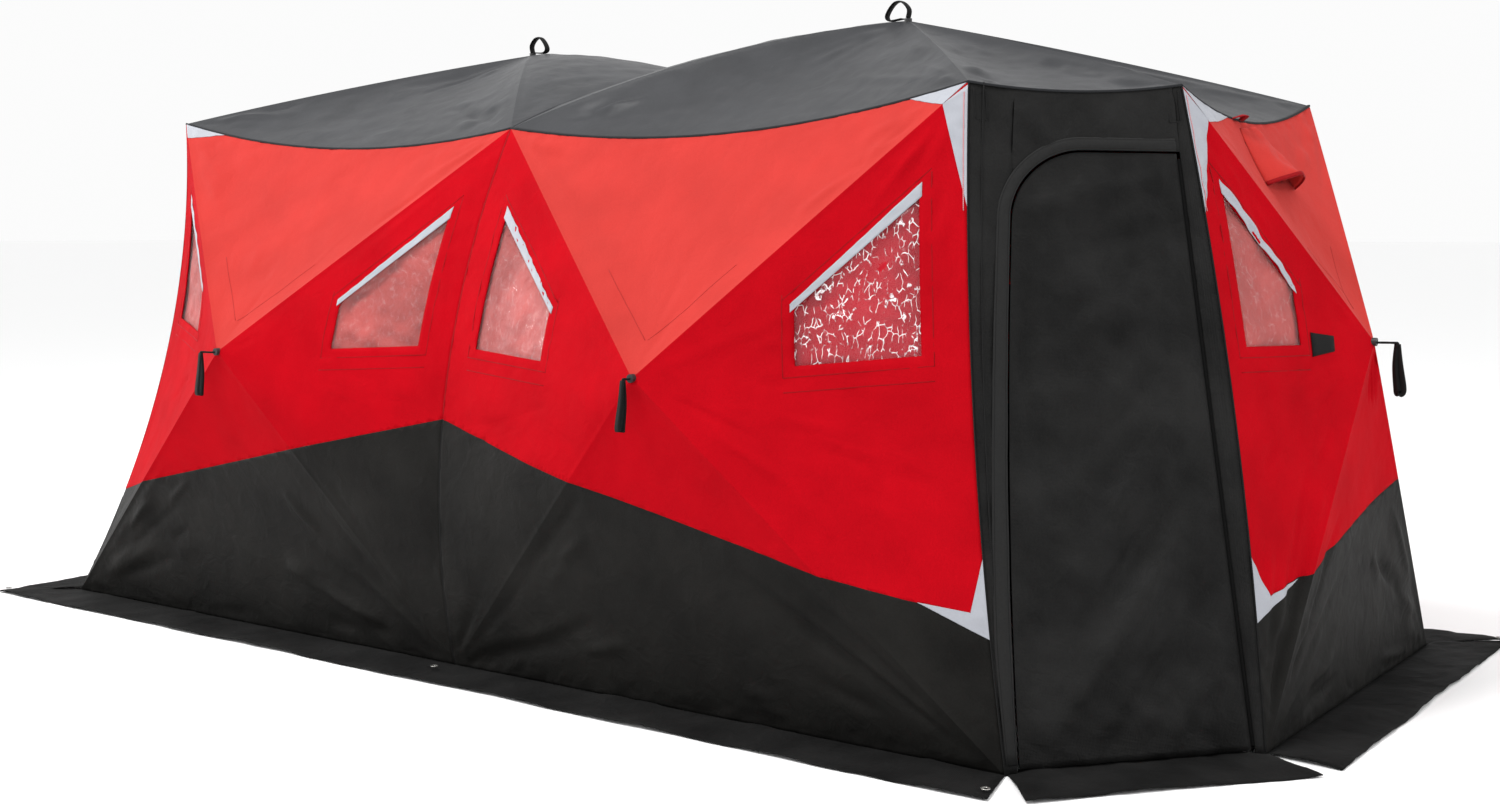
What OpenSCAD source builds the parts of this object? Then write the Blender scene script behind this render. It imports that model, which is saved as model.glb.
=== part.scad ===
// Pop-up ice fishing shelter: two roof hubs, six wall hubs, fabric panels and
// a corner door. The plan is a rectangle with two opposite corners cut off
// for the doors, and it repeats itself after a half turn about the Z axis.
// Origin: middle of the plan at floor level, +X along the long walls.

/* [Floor line] */
// Half the length between the end walls at the floor
base_x = 2220; // [2000:10:2670]
// Half the width between the long walls at the floor
base_y = 1040; // [950:10:1250]
// Length cut from a long wall at a door corner, at the floor
base_cut_x = 470; // [390:5:570]
// Length cut from an end wall at a door corner, at the floor
base_cut_y = 565; // [470:5:680]
// Shift of the long wall's middle seam from the plan's middle
mid_seam_shift = 205; // [150:5:260]

/* [Hem line, where walls meet roof] */
// Lean of the end walls: how far the hem lies inside the floor line
end_lean = 350; // [280:10:420]
// Lean of the long walls: how far the hem lies inside the floor line
long_lean = 290; // [240:10:350]
// Height of the hem corners
hem_h = 1770; // [1650:10:2000]
// Height of the hem where the two bays of a long wall meet
mid_hem_h = 1700; // [1600:10:1800]
// Length cut from a long wall at a door corner, at the hem
hem_cut_x = 410; // [340:5:500]
// Length cut from an end wall at a door corner, at the hem
hem_cut_y = 450; // [380:5:540]

/* [Hubs] */
// Distance of a long wall's hub from the end wall, in the bay with a plain corner
far_hub_in = 1145; // [960:5:1300]
// Distance of a long wall's hub from the end wall, in the bay with a door
near_hub_in = 1515; // [1380:5:1650]
// How far the long walls' hubs stand out from the floor line
long_hub_out = 210; // [160:5:300]
// Height of the long walls' hubs
long_hub_h = 975; // [820:5:1170]
// How far the end walls' hubs stand out from the floor line
end_hub_out = 35; // [20:5:120]
// Sideways place of the end walls' hubs
end_hub_y = 228; // [190:2:270]
// Height of the end walls' hubs
end_hub_h = 1055; // [880:5:1260]
// Distance of each roof hub from the end wall's floor line
roof_hub_in = 1355; // [1250:5:1450]
// Sideways place of the roof hubs
roof_hub_y = 70; // [30:5:120]
// Height of the roof hubs
roof_hub_h = 2030; // [1900:10:2440]
// Radius of the ball that the poles plug into
hub_r = 42; // [35:1:50]
// Radius of the bolt head that shows outside at each hub
hub_cap_r = 12; // [9:1:20]
// Height of that bolt head outside the fabric
hub_cap_h = 8; // [5:1:14]

/* [Fabric] */
// Thickness of the quilted wall and roof fabric
cloth_t = 6; // [5:0.5:9]
// Sag of the hem between its corners
hem_sag = 78; // [40:2:110]
// Outward bow of the long wall's middle seam
mid_seam_bow = 170; // [120:5:200]
// Inward bow of the plain corners, along X and along Y
corner_bow = 84; // [50:2:100]
// Bow of the door corner's seams away from the door
door_seam_bow = 35; // [20:1:45]
// Rise of the valley between the two roof domes
valley_rise = 190; // [120:5:230]
// Crown of the roof poles that run to the middle seam
mid_crown = 55; // [30:1:70]
// Crown of the roof poles that run to the corners
corner_crown = 10; // [6:1:20]
// Height of the black lower fabric at the corners
band_low_h = 350; // [300:5:420]
// Height of the black lower fabric at the long walls' middle seam
band_mid_h = 790; // [660:5:900]
// Height of the black lower fabric at the end walls' plain corner
band_end_h = 750; // [630:5:900]

/* [Windows] */
// Nearest edge of a window, as a share of the way from hub to seam
window_near = 0.49; // [0.45:0.01:0.55]
// Farthest edge of a window, as a share of the way from hub to seam
window_far = 0.86; // [0.8:0.01:0.9]
// Distance of a window's upper edge below the pole, as a share of the seam
window_drop = 0.11; // [0.09:0.005:0.14]
// Place of a window's lower edge down the seam, as a share of the seam
window_foot = 0.4; // [0.34:0.01:0.44]
// Thickness of the clear window sheet
pane_t = 2; // [1.5:0.5:3]
// Width of the reflective strip over a window, as a share of the seam
strip_w = 0.018; // [0.012:0.002:0.03]

/* [Door] */
// Top of the doorway below the hem, as a share of the corner's height
door_top = 0.1; // [0.08:0.005:0.13]
// Depth of the rounded top corner, as a share of the corner's height
door_arch = 0.1; // [0.07:0.005:0.13]
// Width of the rounded top corner, as a share of the doorway's width
door_arch_w = 0.42; // [0.3:0.01:0.6]
// Gap from the long wall's seam to the doorway at the hem, as a share
door_gap_top = 0.225; // [0.2:0.005:0.26]
// Gap from the long wall's seam to the doorway at the floor, as a share
door_gap_foot = 0.05; // [0.04:0.005:0.08]
// Distance of the hinge seam from the end wall's corners
hinge_in = 34; // [30:1:50]
// Width of the zip cover band round the doorway, as a share
zip_w = 0.075; // [0.05:0.005:0.09]
// Thickness of the zip cover band
zip_t = 4; // [2:0.5:6]
// Clear gap between the door flap and the surround
flap_gap = 6; // [5:0.5:8]
// Gap between the door flap and the floor
flap_floor_gap = 14; // [10:1:25]
// Radius of the piped seam that the door flap hinges on
hinge_r = 5; // [4:0.5:6]

/* [Poles] */
// Diameter of the glass fibre poles
pole_d = 12; // [9:0.5:14]
// Radius of the corner knuckle at a pole's end
knuckle_r = 20; // [16:1:26]

/* [Vent] */
// Place of the vent along the end wall's hem, as a share
vent_mid = 0.45; // [0.4:0.01:0.55]
// Half the width of the vent hood, as a share of the hem
vent_half = 0.16; // [0.12:0.01:0.2]
// Lower edge of the vent hood, as a share of the way from hub to hem
vent_low = 0.7; // [0.64:0.01:0.76]
// Upper edge of the vent hood, as a share of the way from hub to hem
vent_high = 0.96; // [0.92:0.01:0.97]
// How far the hood's mouth stands out from the wall
vent_rise = 75; // [50:5:90]
// Thickness of the hood's fabric
hood_t = 3; // [2:0.5:4]

/* [Skirt and trim] */
// Width of the skirt that lies on the floor
skirt_w = 215; // [180:5:260]
// Thickness of the skirt
skirt_t = 3; // [2:0.5:3.5]
// Width of the pull straps
strap_w = 25; // [20:1:30]
// Length of the pull straps that hang on the walls
strap_len = 150; // [120:5:180]
// Outer height of the pull loops on the roof
loop_h = 62; // [55:1:75]
// Thickness of the reflective patches
patch_t = 1; // [0.8:0.1:1.5]

/* [Hidden] */
// Half the clear gap that each panel leaves at a seam
seam = 0.4;
// Clear gap between a piece and its seat
seat = 0.3;
// Clear gap between a reflective patch's corners and the fabric
patch_lift = 0.8;
// Number of straight steps along a curved edge
steps = 8;
// Number of rings between a roof hub and its hem
rings = 4;
// Half length and half width at the hem
hem_x = base_x - end_lean;
hem_y = base_y - long_lean;
// Inner block of space that fabric thickness points towards
core_x = hem_x - 570;
core_y = hem_y - 520;
core_h = hem_h - 470;
// Depth of a hub's centre and of a knuckle's centre below the fabric
hub_depth = cloth_t + (hub_r + 2) / 0.66;
knuckle_depth = cloth_t + (knuckle_r + 2) / 0.6;
door_knuckle_depth = cloth_t + (knuckle_r + 8) / 0.45;
// Thickness of the folded webbing of the pull straps and loops
strap_t = 5;
loop_t = 4;

// Hem corners of one half; the other half is a half turn away
t_left = [-hem_x, -hem_y, hem_h];
t_mid = [-mid_seam_shift, -hem_y, mid_hem_h];
t_door = [hem_x - hem_cut_x, -hem_y, hem_h];
t_end = [hem_x, hem_cut_y - hem_y, hem_h];
t_right = [hem_x, hem_y, hem_h];
t_back = [mid_seam_shift, hem_y, mid_hem_h];
// Floor corners of the same half
b_left = [-base_x, -base_y, 0];
b_mid = [-mid_seam_shift, -base_y, 0];
b_door = [base_x - base_cut_x, -base_y, 0];
b_end = [base_x, base_cut_y - base_y, 0];
b_right = [base_x, base_y, 0];
// Hubs of the same half
hub_1 = [far_hub_in - base_x, -base_y - long_hub_out, long_hub_h];
hub_2 = [base_x - near_hub_in, -base_y - long_hub_out, long_hub_h];
hub_3 = [base_x + end_hub_out, end_hub_y, end_hub_h];
hub_roof = [base_x - roof_hub_in, -roof_hub_y, roof_hub_h];

// Bows of the edges between corners
sag_v = [0, 0, -hem_sag];
mid_v = [0, -mid_seam_bow, 0];
left_v = [corner_bow, corner_bow, 0];
right_v = [-corner_bow, -corner_bow, 0];
door_dir = unit(b_end - b_door);
door_normal = unit(cross(door_dir, t_door + t_end - b_door - b_end));
door_out = [door_dir.y, -door_dir.x, 0];
door_v = -door_seam_bow * door_dir;
end_v = door_seam_bow * door_dir;
valley_v = [0, 0, valley_rise];
door_sag_v = sag_v * 0.28;
none_v = [0, 0, 0];

function unit(v) = v / norm(v);
function lerp(a, b, t) = a + (b - a) * t;
function bowed(a, b, v, t) = lerp(a, b, t) + 4 * t * (1 - t) * v;
function edge(a, b, v) = [for (i = [0:steps]) bowed(a, b, v, i / steps)];
// The same edge as edge() draws it, in straight steps
function stepped(a, b, v, t) =
    let (i = held(floor(t * steps), 0, steps - 1))
    lerp(bowed(a, b, v, i / steps), bowed(a, b, v, (i + 1) / steps), t * steps - i);
function held(x, lo, hi) = min(max(x, lo), hi);
function core(p) = [held(p.x, -core_x, core_x), held(p.y, -core_y, core_y), min(p.z, core_h)];
// The point a given depth below the fabric's outer face
function into(p, d) = p + d * unit(core(p) - p);
function sum(v, i = 0) = i == len(v) - 1 ? v[i] : v[i] + sum(v, i + 1);
function flat(g) = [for (row = g) each row];
function middle(g) = sum(flat(g)) / len(flat(g));
// A grid pulled in from its own outline by the seam gap
function seamed(g, gap) =
    let (c = middle(g))
    [for (row = g) [for (p = row) p + gap * unit(c - p)]];

// A wall panel's grid: from round the hub bolt out to a curved edge
function spread(hub, p) =
    let (axis = unit(core(hub) - hub), d = p - hub)
    norm(d - (d * axis) * axis);
function fan(hub, line) = [
    [for (p = line) lerp(hub, p, (hub_cap_r + 0.5) / spread(hub, p))],
    line];
// A roof panel's grid: rings from the hub to the hem, crowned like its poles
function dome(hub, line, crown_a, crown_b) = [
    for (j = [0:rings])
        [for (i = [0:steps])
            let (p = line[i],
                near = (hub_cap_r + 0.5) / spread(hub, p),
                t = lerp(near, 1, j / rings))
            lerp(hub, p, t) + [0, 0, 4 * t * (1 - t) * lerp(crown_a, crown_b, i / steps)]]];

// Order of points that both sides of a seam agree on, to split twisted edges
function rank(p) = p.z + 0.01 * norm(p);
// A solid between two grids of the same shape, outer face first
module shell(outer, inner) {
    rows = len(outer);
    cols = len(outer[0]);
    pts = flat(outer);
    n = rows * cols;
    rim = concat(
        [for (i = [0:cols - 2]) i],
        [for (j = [0:rows - 2]) j * cols + cols - 1],
        [for (i = [cols - 1:-1:1]) (rows - 1) * cols + i],
        [for (j = [rows - 1:-1:1]) j * cols]);
    m = len(rim);
    faces = concat(
        [for (j = [0:rows - 2], i = [0:cols - 2])
            let (a = j * cols + i) each [[a, a + 1, a + cols + 1], [a, a + cols + 1, a + cols]]],
        [for (j = [0:rows - 2], i = [0:cols - 2])
            let (a = n + j * cols + i) each [[a, a + cols + 1, a + 1], [a, a + cols, a + cols + 1]]],
        [for (k = [0:m - 1])
            let (a = rim[k], b = rim[(k + 1) % m])
            each rank(pts[a]) > rank(pts[b]) ? [[a, a + n, b + n], [a, b + n, b]]
                : [[a, a + n, b], [b, a + n, b + n]]]);
    polyhedron(concat(pts, flat(inner)), faces, convexity = 6);
}
// A sheet of even thickness under a grid of points on its outer face
module sheet(g, t) {
    shell(g, [for (row = g) [for (p = row) into(p, t)]]);
}

module panel(hub, line) {
    sheet(seamed(fan(hub, line), seam), cloth_t);
}

// The space below the black fabric's upper edge on a long wall
module long_band_space(extra) {
    rotate([90, 0, 0])
        linear_extrude(height = 4 * base_y, center = true)
            polygon([[b_left.x - 50, -50], [b_door.x + 50, -50],
                [b_door.x + 50, band_low_h + extra], [b_mid.x, band_mid_h + extra],
                [b_left.x - 50, band_low_h + extra]]);
}
// The space below the black fabric's upper edge on an end wall
module end_band_space(extra) {
    rotate([90, 0, 90])
        linear_extrude(height = 4 * base_x, center = true)
            polygon([[b_end.y - 90, -50], [b_right.y + 90, -50],
                [b_right.y + 90, band_end_h + extra], [b_end.y - 90, band_low_h + extra]]);
}
module band_space(long, extra) {
    if (long) long_band_space(extra);
    else end_band_space(extra);
}

// The far seam of a bay's side panel: its top, its foot and its bow
function seam_of(b, right) = right ? [b[2], b[3], b[6]] : [b[1], b[4], b[5]];
// A point of a side panel: share of the seam from the top, share from the hub
function side_point(b, right, s, r) =
    let (e = seam_of(b, right)) lerp(b[0], stepped(e[0], e[1], e[2], s), r);
// A window's grid on a side panel, pulled in by a gap
function window(b, right, gap) =
    seamed([for (r = [window_near, window_far]) [for (i = [0:4])
        let (s = lerp(window_drop / r, window_foot, (right ? 4 - i : i) / 4))
        side_point(b, right, s, r)]], gap);
function lifted(g, d) = [for (row = g) [for (p = row) into(p, -d)]];
module window_cut(b, right) {
    sheet(lifted(window(b, right, 0), 4), cloth_t + 8);
}
module window_pane(b, right) {
    sheet(lifted(window(b, right, 4 * seat), (pane_t - cloth_t) / 2), pane_t);
}
module window_strip(b, right) {
    g = [for (j = [0:4]) [for (i = [0:2])
        let (r = lerp(window_near, window_far, j / 4), up = (right ? i : 2 - i) / 2)
        side_point(b, right, window_drop / r - strip_w * (up + 1 / 6), r)]];
    sheet(lifted(g, patch_lift + patch_t), patch_t);
}

// One bay: its corners in order top left, top right, foot right, foot left,
// seen from outside, with the bow of its left and right seams
function bay_1() = [hub_1, t_left, t_mid, b_mid, b_left, left_v, mid_v, true];
function bay_2() = [hub_2, t_mid, t_door, b_door, b_mid, mid_v, door_v, true];
function bay_3() = [hub_3, t_end, t_right, b_right, b_end, end_v, right_v, false];

module bay_upper(b) {
    color("#e8453f")
        difference() {
            panel(b[0], edge(b[2], b[1], sag_v));
            if (!b[7]) vent_cut();
        }
}
module bay_side(b, right) {
    if (right) panel(b[0], edge(b[3], b[2], b[6]));
    else panel(b[0], edge(b[1], b[4], b[5]));
}
module bay_foot(b) {
    panel(b[0], edge(b[4], b[3], none_v));
}
module bay_sides(b) {
    color("#cd0620") {
        for (right = [false, true])
            difference() {
                bay_side(b, right);
                band_space(b[7], 2 * seam);
                window_cut(b, right);
            }
        difference() {
            bay_foot(b);
            band_space(b[7], 2 * seam);
        }
    }
}
module bay_lowers(b) {
    color("#242423") {
        for (right = [false, true])
            intersection() {
                bay_side(b, right);
                band_space(b[7], 0);
            }
        intersection() {
            bay_foot(b);
            band_space(b[7], 0);
        }
    }
}
module bay_panes(b) {
    color([0.9, 0.6, 0.6, 0.5])
        for (right = [false, true]) window_pane(b, right);
}
module bay_strips(b) {
    color("#c6cad5")
        for (right = [false, true]) window_strip(b, right);
}

// Both halves of a shelter that repeats after a half turn
module half_turn() {
    rotate([0, 0, 180]) children();
}
module both_halves() {
    children();
    half_turn() children();
}

// Roof: five crowned panels round a hub, with the valley on the inner side
module roof_panel(a, b, v, crown_a, crown_b) {
    sheet(seamed(dome(hub_roof, edge(a, b, v), crown_a, crown_b), seam), cloth_t);
}
module right_dome() {
    color("#4b4c50") {
        roof_panel(t_mid, t_door, sag_v, mid_crown, corner_crown);
        roof_panel(t_door, t_end, door_sag_v, corner_crown, corner_crown);
        roof_panel(t_end, t_right, sag_v, corner_crown, corner_crown);
        roof_panel(t_right, t_back, sag_v, corner_crown, mid_crown);
        roof_panel(t_back, t_mid, valley_v, mid_crown, mid_crown);
    }
}

// Door corner: s runs down the corner, c across the doorway from its free
// edge to its hinge line
hinge_u = 1 - hinge_in / norm(t_end - t_door);
function long_side(s) = stepped(t_door, b_door, door_v, s);
function end_side(s) = stepped(t_end, b_end, end_v, s);
function door_hem(u) = stepped(t_door, t_end, door_sag_v, u);
function hinge_line(s) = lerp(door_hem(hinge_u), b_end - hinge_in * door_dir, s);
function free_line(s) =
    lerp(long_side(s), hinge_line(s), lerp(door_gap_top, door_gap_foot, s));
function door_point(s, c) = lerp(free_line(s), hinge_line(s), c);
function across(s) = norm(hinge_line(s) - free_line(s));
door_height = norm(t_door - b_door);
arch_foot = door_top + door_arch;
arch_steps = 6;
// Rounded top of the doorway, as points [s, c] from the free edge to the hinge
function arch(grow_c, grow_s) = [for (i = [0:arch_steps])
    let (a = 90 * i / arch_steps)
    [arch_foot - (door_arch + grow_s) * sin(a),
        door_arch_w - (door_arch_w + grow_c) * cos(a)]];
// Inner face of a door piece: square to the door, mitred where it meets a seam
function door_in(g, mitred) = [for (j = [0:len(g) - 1]) [for (i = [0:len(g[0]) - 1])
    let (p = g[j][i])
    mitred(i, j) ? into(p, cloth_t) : p - cloth_t * door_out]];
module door_piece(g, mitred) {
    shell(seamed(g, seam), door_in(seamed(g, seam), mitred));
}

function strip_rows(foot) =
    concat([0, foot / 2], [for (i = [0:6]) lerp(foot, 1, i / 6)]);
module door_surround() {
    rim = hinge_r + seat;
    down = [0, 0, -2 * seam];
    far = 1 + rim / across(door_top);
    lintel = [for (k = [1:4]) [door_top, lerp(door_arch_w, far, k / 4)]];
    head = [for (j = [0:2])
        [for (q = concat(arch(0, 0), lintel))
            j == 0 ? door_hem(lerp(door_gap_top * hinge_u, hinge_u, q[1]))
            : door_point(q[0] * j / 2, q[1])]];
    color("#262625") {
        door_piece(head, function(i, j) j == 0);
        door_piece([for (s = strip_rows(arch_foot))
            s == 0 ? [t_door + down, door_hem(door_gap_top * hinge_u) + down]
            : [long_side(s), free_line(s)]],
            function(i, j) i == 0 || j == 0);
        door_piece([for (s = strip_rows(door_top))
            let (e = end_side(s), h = hinge_line(s), low = s == 0 ? down : none_v)
            [h + rim * unit(e - h) + low, e + low]],
            function(i, j) i == 1 || j == 0);
    }
}

// The door flap: fabric from the free edge to the piped hinge seam
function flap_grid() =
    let (foot = 1 - flap_floor_gap / door_height, gap_s = flap_gap / door_height)
    [for (j = [0:steps])
        [for (q = concat(arch(0, 0), [[door_top, 1]]))
            let (s = lerp(q[0] + gap_s, foot, j / steps), w = across(s),
                c = lerp(flap_gap / w, 1 - (hinge_r + 2 * seat) / w, q[1]))
            door_point(s, c)]];
module door_flap() {
    color("#242423")
        shell(flap_grid(), door_in(flap_grid(), function(i, j) false));
}

// The zip's cover band, on the surround along the doorway's edge
function band_rows() =
    let (arch_in = arch(0, 0), arch_out = arch(zip_w, zip_w * across(door_top) / door_height))
    concat(
        [for (k = [0:5])
            let (s = lerp(0.985, arch_foot, k / 6),
                g = lerp(door_gap_top, door_gap_foot, s))
            [door_point(s, 0), door_point(s, max(-zip_w, -0.85 * g / (1 - g)))]],
        [for (i = [0:arch_steps])
            [door_point(arch_in[i][0], arch_in[i][1]), door_point(arch_out[i][0], arch_out[i][1])]],
        [[door_point(door_top, 0.985),
            door_point(arch_out[arch_steps][0], 0.985)]]);
module door_zip_band() {
    rise = zip_t + seat;
    color("#1c1c1c")
        shell([for (row = band_rows()) [for (p = row) p + rise * door_normal]],
            [for (row = band_rows()) [for (p = row) p + seat * door_normal]]);
}

module rod(a, b, r) {
    d = b - a;
    translate(a)
        rotate([0, acos(d.z / norm(d)), atan2(d.y, d.x)])
            cylinder(h = norm(d), r = r, $fn = 32);
}
module door_hinge_seam() {
    deep = -cloth_t / 2 * door_out;
    color("#1c1c1c")
        rod(hinge_line(0.985) + deep, hinge_line(door_top + 0.012) + deep, hinge_r);
}

// Frame: balls inside the hubs, knuckles inside the corners, poles between
function hub_ball(h) = into(h, hub_depth);
function knuckle(p) =
    p.z > 0 ? into(p, p == t_door || p == t_end ? door_knuckle_depth : knuckle_depth)
    : into(p, knuckle_depth) + [0, 0, knuckle_r + 8];
module ball(p, r) {
    translate(p) sphere(r = r, $fn = 48);
}
module pole(a, b) {
    d = unit(b - a);
    rod(a + (hub_r + seat) * d, b - (knuckle_r + seat) * d, pole_d / 2);
}
// An arched pole: an arc of a large circle in an upright plane
module arched_pole(a, b, crown) {
    d = b - a;
    l = norm(d);
    big_r = (l * l / 4 + crown * crown) / (2 * crown);
    half = asin(l / 2 / big_r);
    x = unit(d);
    y = unit(cross([0, 0, 1], x));
    z = cross(x, y);
    cut_a = 2 * asin((hub_r + seat) / 2 / big_r);
    cut_b = 2 * asin((knuckle_r + seat) / 2 / big_r);
    mid = (a + b) / 2 - (big_r - crown) * z;
    multmatrix([[x.x, y.x, z.x, mid.x], [x.y, y.y, z.y, mid.y], [x.z, y.z, z.z, mid.z], [0, 0, 0, 1]])
        rotate([90, 0, 0])
            rotate([0, 0, 90 - half + cut_b])
                rotate_extrude(angle = 2 * half - cut_a - cut_b, $fn = 96)
                    translate([big_r, 0]) circle(d = pole_d, $fn = 24);
}
module bay_poles(b) {
    for (k = [1:4]) pole(hub_ball(b[0]), knuckle(b[k]));
}
module roof_pole(p, crown) {
    arched_pole(hub_ball(hub_roof), knuckle(p), crown);
}

module bolt_cap(h) {
    d = unit(core(h) - h);
    rod(h - hub_cap_h * d, into(h, hub_depth - hub_r - seat), hub_cap_r);
}
module wall_strap(h) {
    d = core(h) - h;
    translate(h)
        rotate([0, 0, atan2(d.y, d.x) - 90])
            translate([-strap_w / 2, -hub_cap_h - seat - strap_t, -strap_len])
                cube([strap_w, strap_t, strap_len + hub_cap_r / 2]);
}
// A webbing loop that stands on a roof hub's bolt cap
module roof_loop(h) {
    r = loop_h * 0.42;
    translate(h + [0, 0, hub_cap_h + seat])
        rotate([90, 0, 0])
            linear_extrude(height = strap_w, center = true)
                difference() {
                    loop_outline(r, loop_h - r);
                    translate([0, loop_t]) loop_outline(r - loop_t, loop_h - r - loop_t);
                }
}
module loop_outline(r, h) {
    translate([0, h]) circle(r = r, $fn = 48);
    translate([-r, 0]) square([2 * r, h]);
}

// A thin triangular patch just outside the fabric
module patch(a, b, c) {
    m = (a + b + c) / 3;
    pts = [for (p = [a, b, c]) p + seam * unit(m - p)];
    low = [for (p = pts) into(p, -patch_lift)];
    high = [for (p = pts) into(p, -patch_lift - patch_t)];
    polyhedron(concat(high, low), [[0, 1, 2], [3, 5, 4], [0, 3, 4], [0, 4, 1],
        [1, 4, 5], [1, 5, 2], [2, 5, 3], [2, 3, 0]]);
}
function hem_point(b, s) = bowed(b[1], b[2], sag_v, s);
module corner_patches() {
    color("#c6cad5") {
        // Plain corner of a long wall
        patch(hem_point(bay_1(), 0.002), hem_point(bay_1(), 0.14), lerp(hub_1, t_left, 0.93));
        // Long wall beside the door, above and below
        patch(hem_point(bay_2(), 0.89), hem_point(bay_2(), 0.998), lerp(hub_2, t_door, 0.925));
        patch(t_door, side_point(bay_2(), true, 0.19, 1), lerp(hub_2, t_door, 0.925));
        patch(side_point(bay_2(), true, 0.695, 1), side_point(bay_2(), true, 0.811, 1),
            side_point(bay_2(), true, 0.79, 0.952));
        patch(side_point(bay_2(), true, 0.811, 1), side_point(bay_2(), true, 0.862, 0.8),
            side_point(bay_2(), true, 0.79, 0.952));
        // End wall beside the door, above and below
        patch(hem_point(bay_3(), 0.002), hem_point(bay_3(), 0.33), lerp(hub_3, t_end, 0.87));
        patch(t_end, lerp(hub_3, t_end, 0.87), side_point(bay_3(), false, 0.2, 1));
        patch(side_point(bay_3(), false, 0.71, 1), side_point(bay_3(), false, 0.815, 0.9),
            side_point(bay_3(), false, 0.81, 1));
        patch(side_point(bay_3(), false, 0.81, 1), side_point(bay_3(), false, 0.815, 0.9),
            side_point(bay_3(), false, 0.97, 0.62));
    }
}

// A vent in an end wall's upper panel, and the open-ended hood over it
function vent_point(s, r, d) =
    into(lerp(hub_3, stepped(t_end, t_right, sag_v, s), r), -d);
module vent_cut() {
    sheet([for (r = [vent_low + 0.04, vent_high - 0.06]) [for (i = [0:4])
        let (s = vent_mid + vent_half * lerp(-0.6, 0.6, 1 - i / 4)) vent_point(s, r, 4)]], cloth_t + 8);
}
module vent_hood() {
    function hood(d) = [for (j = [0:4]) [for (i = [0:8])
        let (r = lerp(vent_low, vent_high, j / 4), half = vent_half * lerp(1, 0.45, j / 4),
            rise = lerp(vent_rise, vent_rise / 5, j / 4) * sin(180 * i / 8))
        vent_point(vent_mid + half * (1 - i / 4), r, seat + 0.3 + rise + d)]];
    color("#d9292b") shell(hood(hood_t), hood(0));
}

// Skirt: flat fabric on the floor, mitred at plain corners, cut at the door
skirt_gap = skirt_t * long_hub_out / long_hub_h + 2 * seat;
module long_skirt() {
    color("#232323")
        linear_extrude(height = skirt_t)
            polygon([[-base_x - skirt_gap + seam, -base_y - skirt_gap],
                [-base_x - skirt_w + seam, -base_y - skirt_w],
                [b_door.x + 0.25 * skirt_w, -base_y - skirt_w], [b_door.x, -base_y - skirt_gap]]);
}
module end_skirt() {
    color("#232323")
        linear_extrude(height = skirt_t)
            polygon([[base_x + skirt_gap, b_end.y], [base_x + skirt_w, b_end.y - 0.1 * skirt_w],
                [base_x + skirt_w, base_y + skirt_w - seam],
                [base_x + skirt_gap, base_y + skirt_gap - seam]]);
}
module door_skirt() {
    a = b_door + seat * door_out + 6 * door_dir;
    b = b_end + seat * door_out - 6 * door_dir;
    c = b + skirt_w * door_out + 0.2 * skirt_w * door_dir;
    d = a + skirt_w * door_out - 0.2 * skirt_w * door_dir;
    color("#232323")
        linear_extrude(height = skirt_t)
            polygon([for (p = [a, d, c, b]) [p.x, p.y]]);
}

right_dome();  // roof_right_dome
half_turn() right_dome();  // roof_left_dome
bay_upper(bay_1());  // front_left_upper_panel
bay_sides(bay_1());  // front_left_side_panels
bay_lowers(bay_1());  // front_left_lower_panels
bay_upper(bay_2());  // front_right_upper_panel
bay_sides(bay_2());  // front_right_side_panels
bay_lowers(bay_2());  // front_right_lower_panels
bay_upper(bay_3());  // right_end_upper_panel
bay_sides(bay_3());  // right_end_side_panels
bay_lowers(bay_3());  // right_end_lower_panels
half_turn() bay_upper(bay_1());  // back_right_upper_panel
half_turn() bay_sides(bay_1());  // back_right_side_panels
half_turn() bay_lowers(bay_1());  // back_right_lower_panels
half_turn() bay_upper(bay_2());  // back_left_upper_panel
half_turn() bay_sides(bay_2());  // back_left_side_panels
half_turn() bay_lowers(bay_2());  // back_left_lower_panels
half_turn() bay_upper(bay_3());  // left_end_upper_panel
half_turn() bay_sides(bay_3());  // left_end_side_panels
half_turn() bay_lowers(bay_3());  // left_end_lower_panels
for (b = [bay_1(), bay_2()]) bay_panes(b);  // front_windows
half_turn() for (b = [bay_1(), bay_2()]) bay_panes(b);  // back_windows
both_halves() bay_panes(bay_3());  // end_windows
both_halves() for (b = [bay_1(), bay_2(), bay_3()]) bay_strips(b);  // window_reflective_strips
door_surround();  // right_door_surround
door_flap();  // right_door_flap
door_zip_band();  // right_door_zip_band
door_hinge_seam();  // right_door_hinge_seam
half_turn() door_surround();  // left_door_surround
half_turn() door_flap();  // left_door_flap
half_turn() door_zip_band();  // left_door_zip_band
half_turn() door_hinge_seam();  // left_door_hinge_seam
color("#3a3a3a") both_halves() for (b = [bay_1(), bay_2(), bay_3()]) bay_poles(b);  // wall_poles
color("#3a3a3a") both_halves() {  // roof_poles
        roof_pole(t_mid, mid_crown);
        roof_pole(t_back, mid_crown);
        for (p = [t_door, t_end, t_right]) roof_pole(p, corner_crown);
    }
color("#1b1b1b") both_halves() for (h = [hub_1, hub_2, hub_3]) ball(hub_ball(h), hub_r);  // wall_hubs
color("#1b1b1b") both_halves() ball(hub_ball(hub_roof), hub_r);  // roof_hubs
color("#1b1b1b") both_halves()  // corner_knuckles
        for (p = [t_left, t_mid, t_door, t_end, b_left, b_mid, b_door, b_end])
            ball(knuckle(p), knuckle_r);
color("#1b1b1b") both_halves() for (h = [hub_1, hub_2, hub_3, hub_roof]) bolt_cap(h);  // hub_bolt_caps
color("#1b1b1b") both_halves() for (h = [hub_1, hub_2, hub_3]) wall_strap(h);  // wall_pull_straps
color("#1b1b1b") both_halves() roof_loop(hub_roof);  // roof_pull_loops
both_halves() corner_patches();  // reflective_patches
both_halves() vent_hood();  // end_vent_hoods
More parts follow.
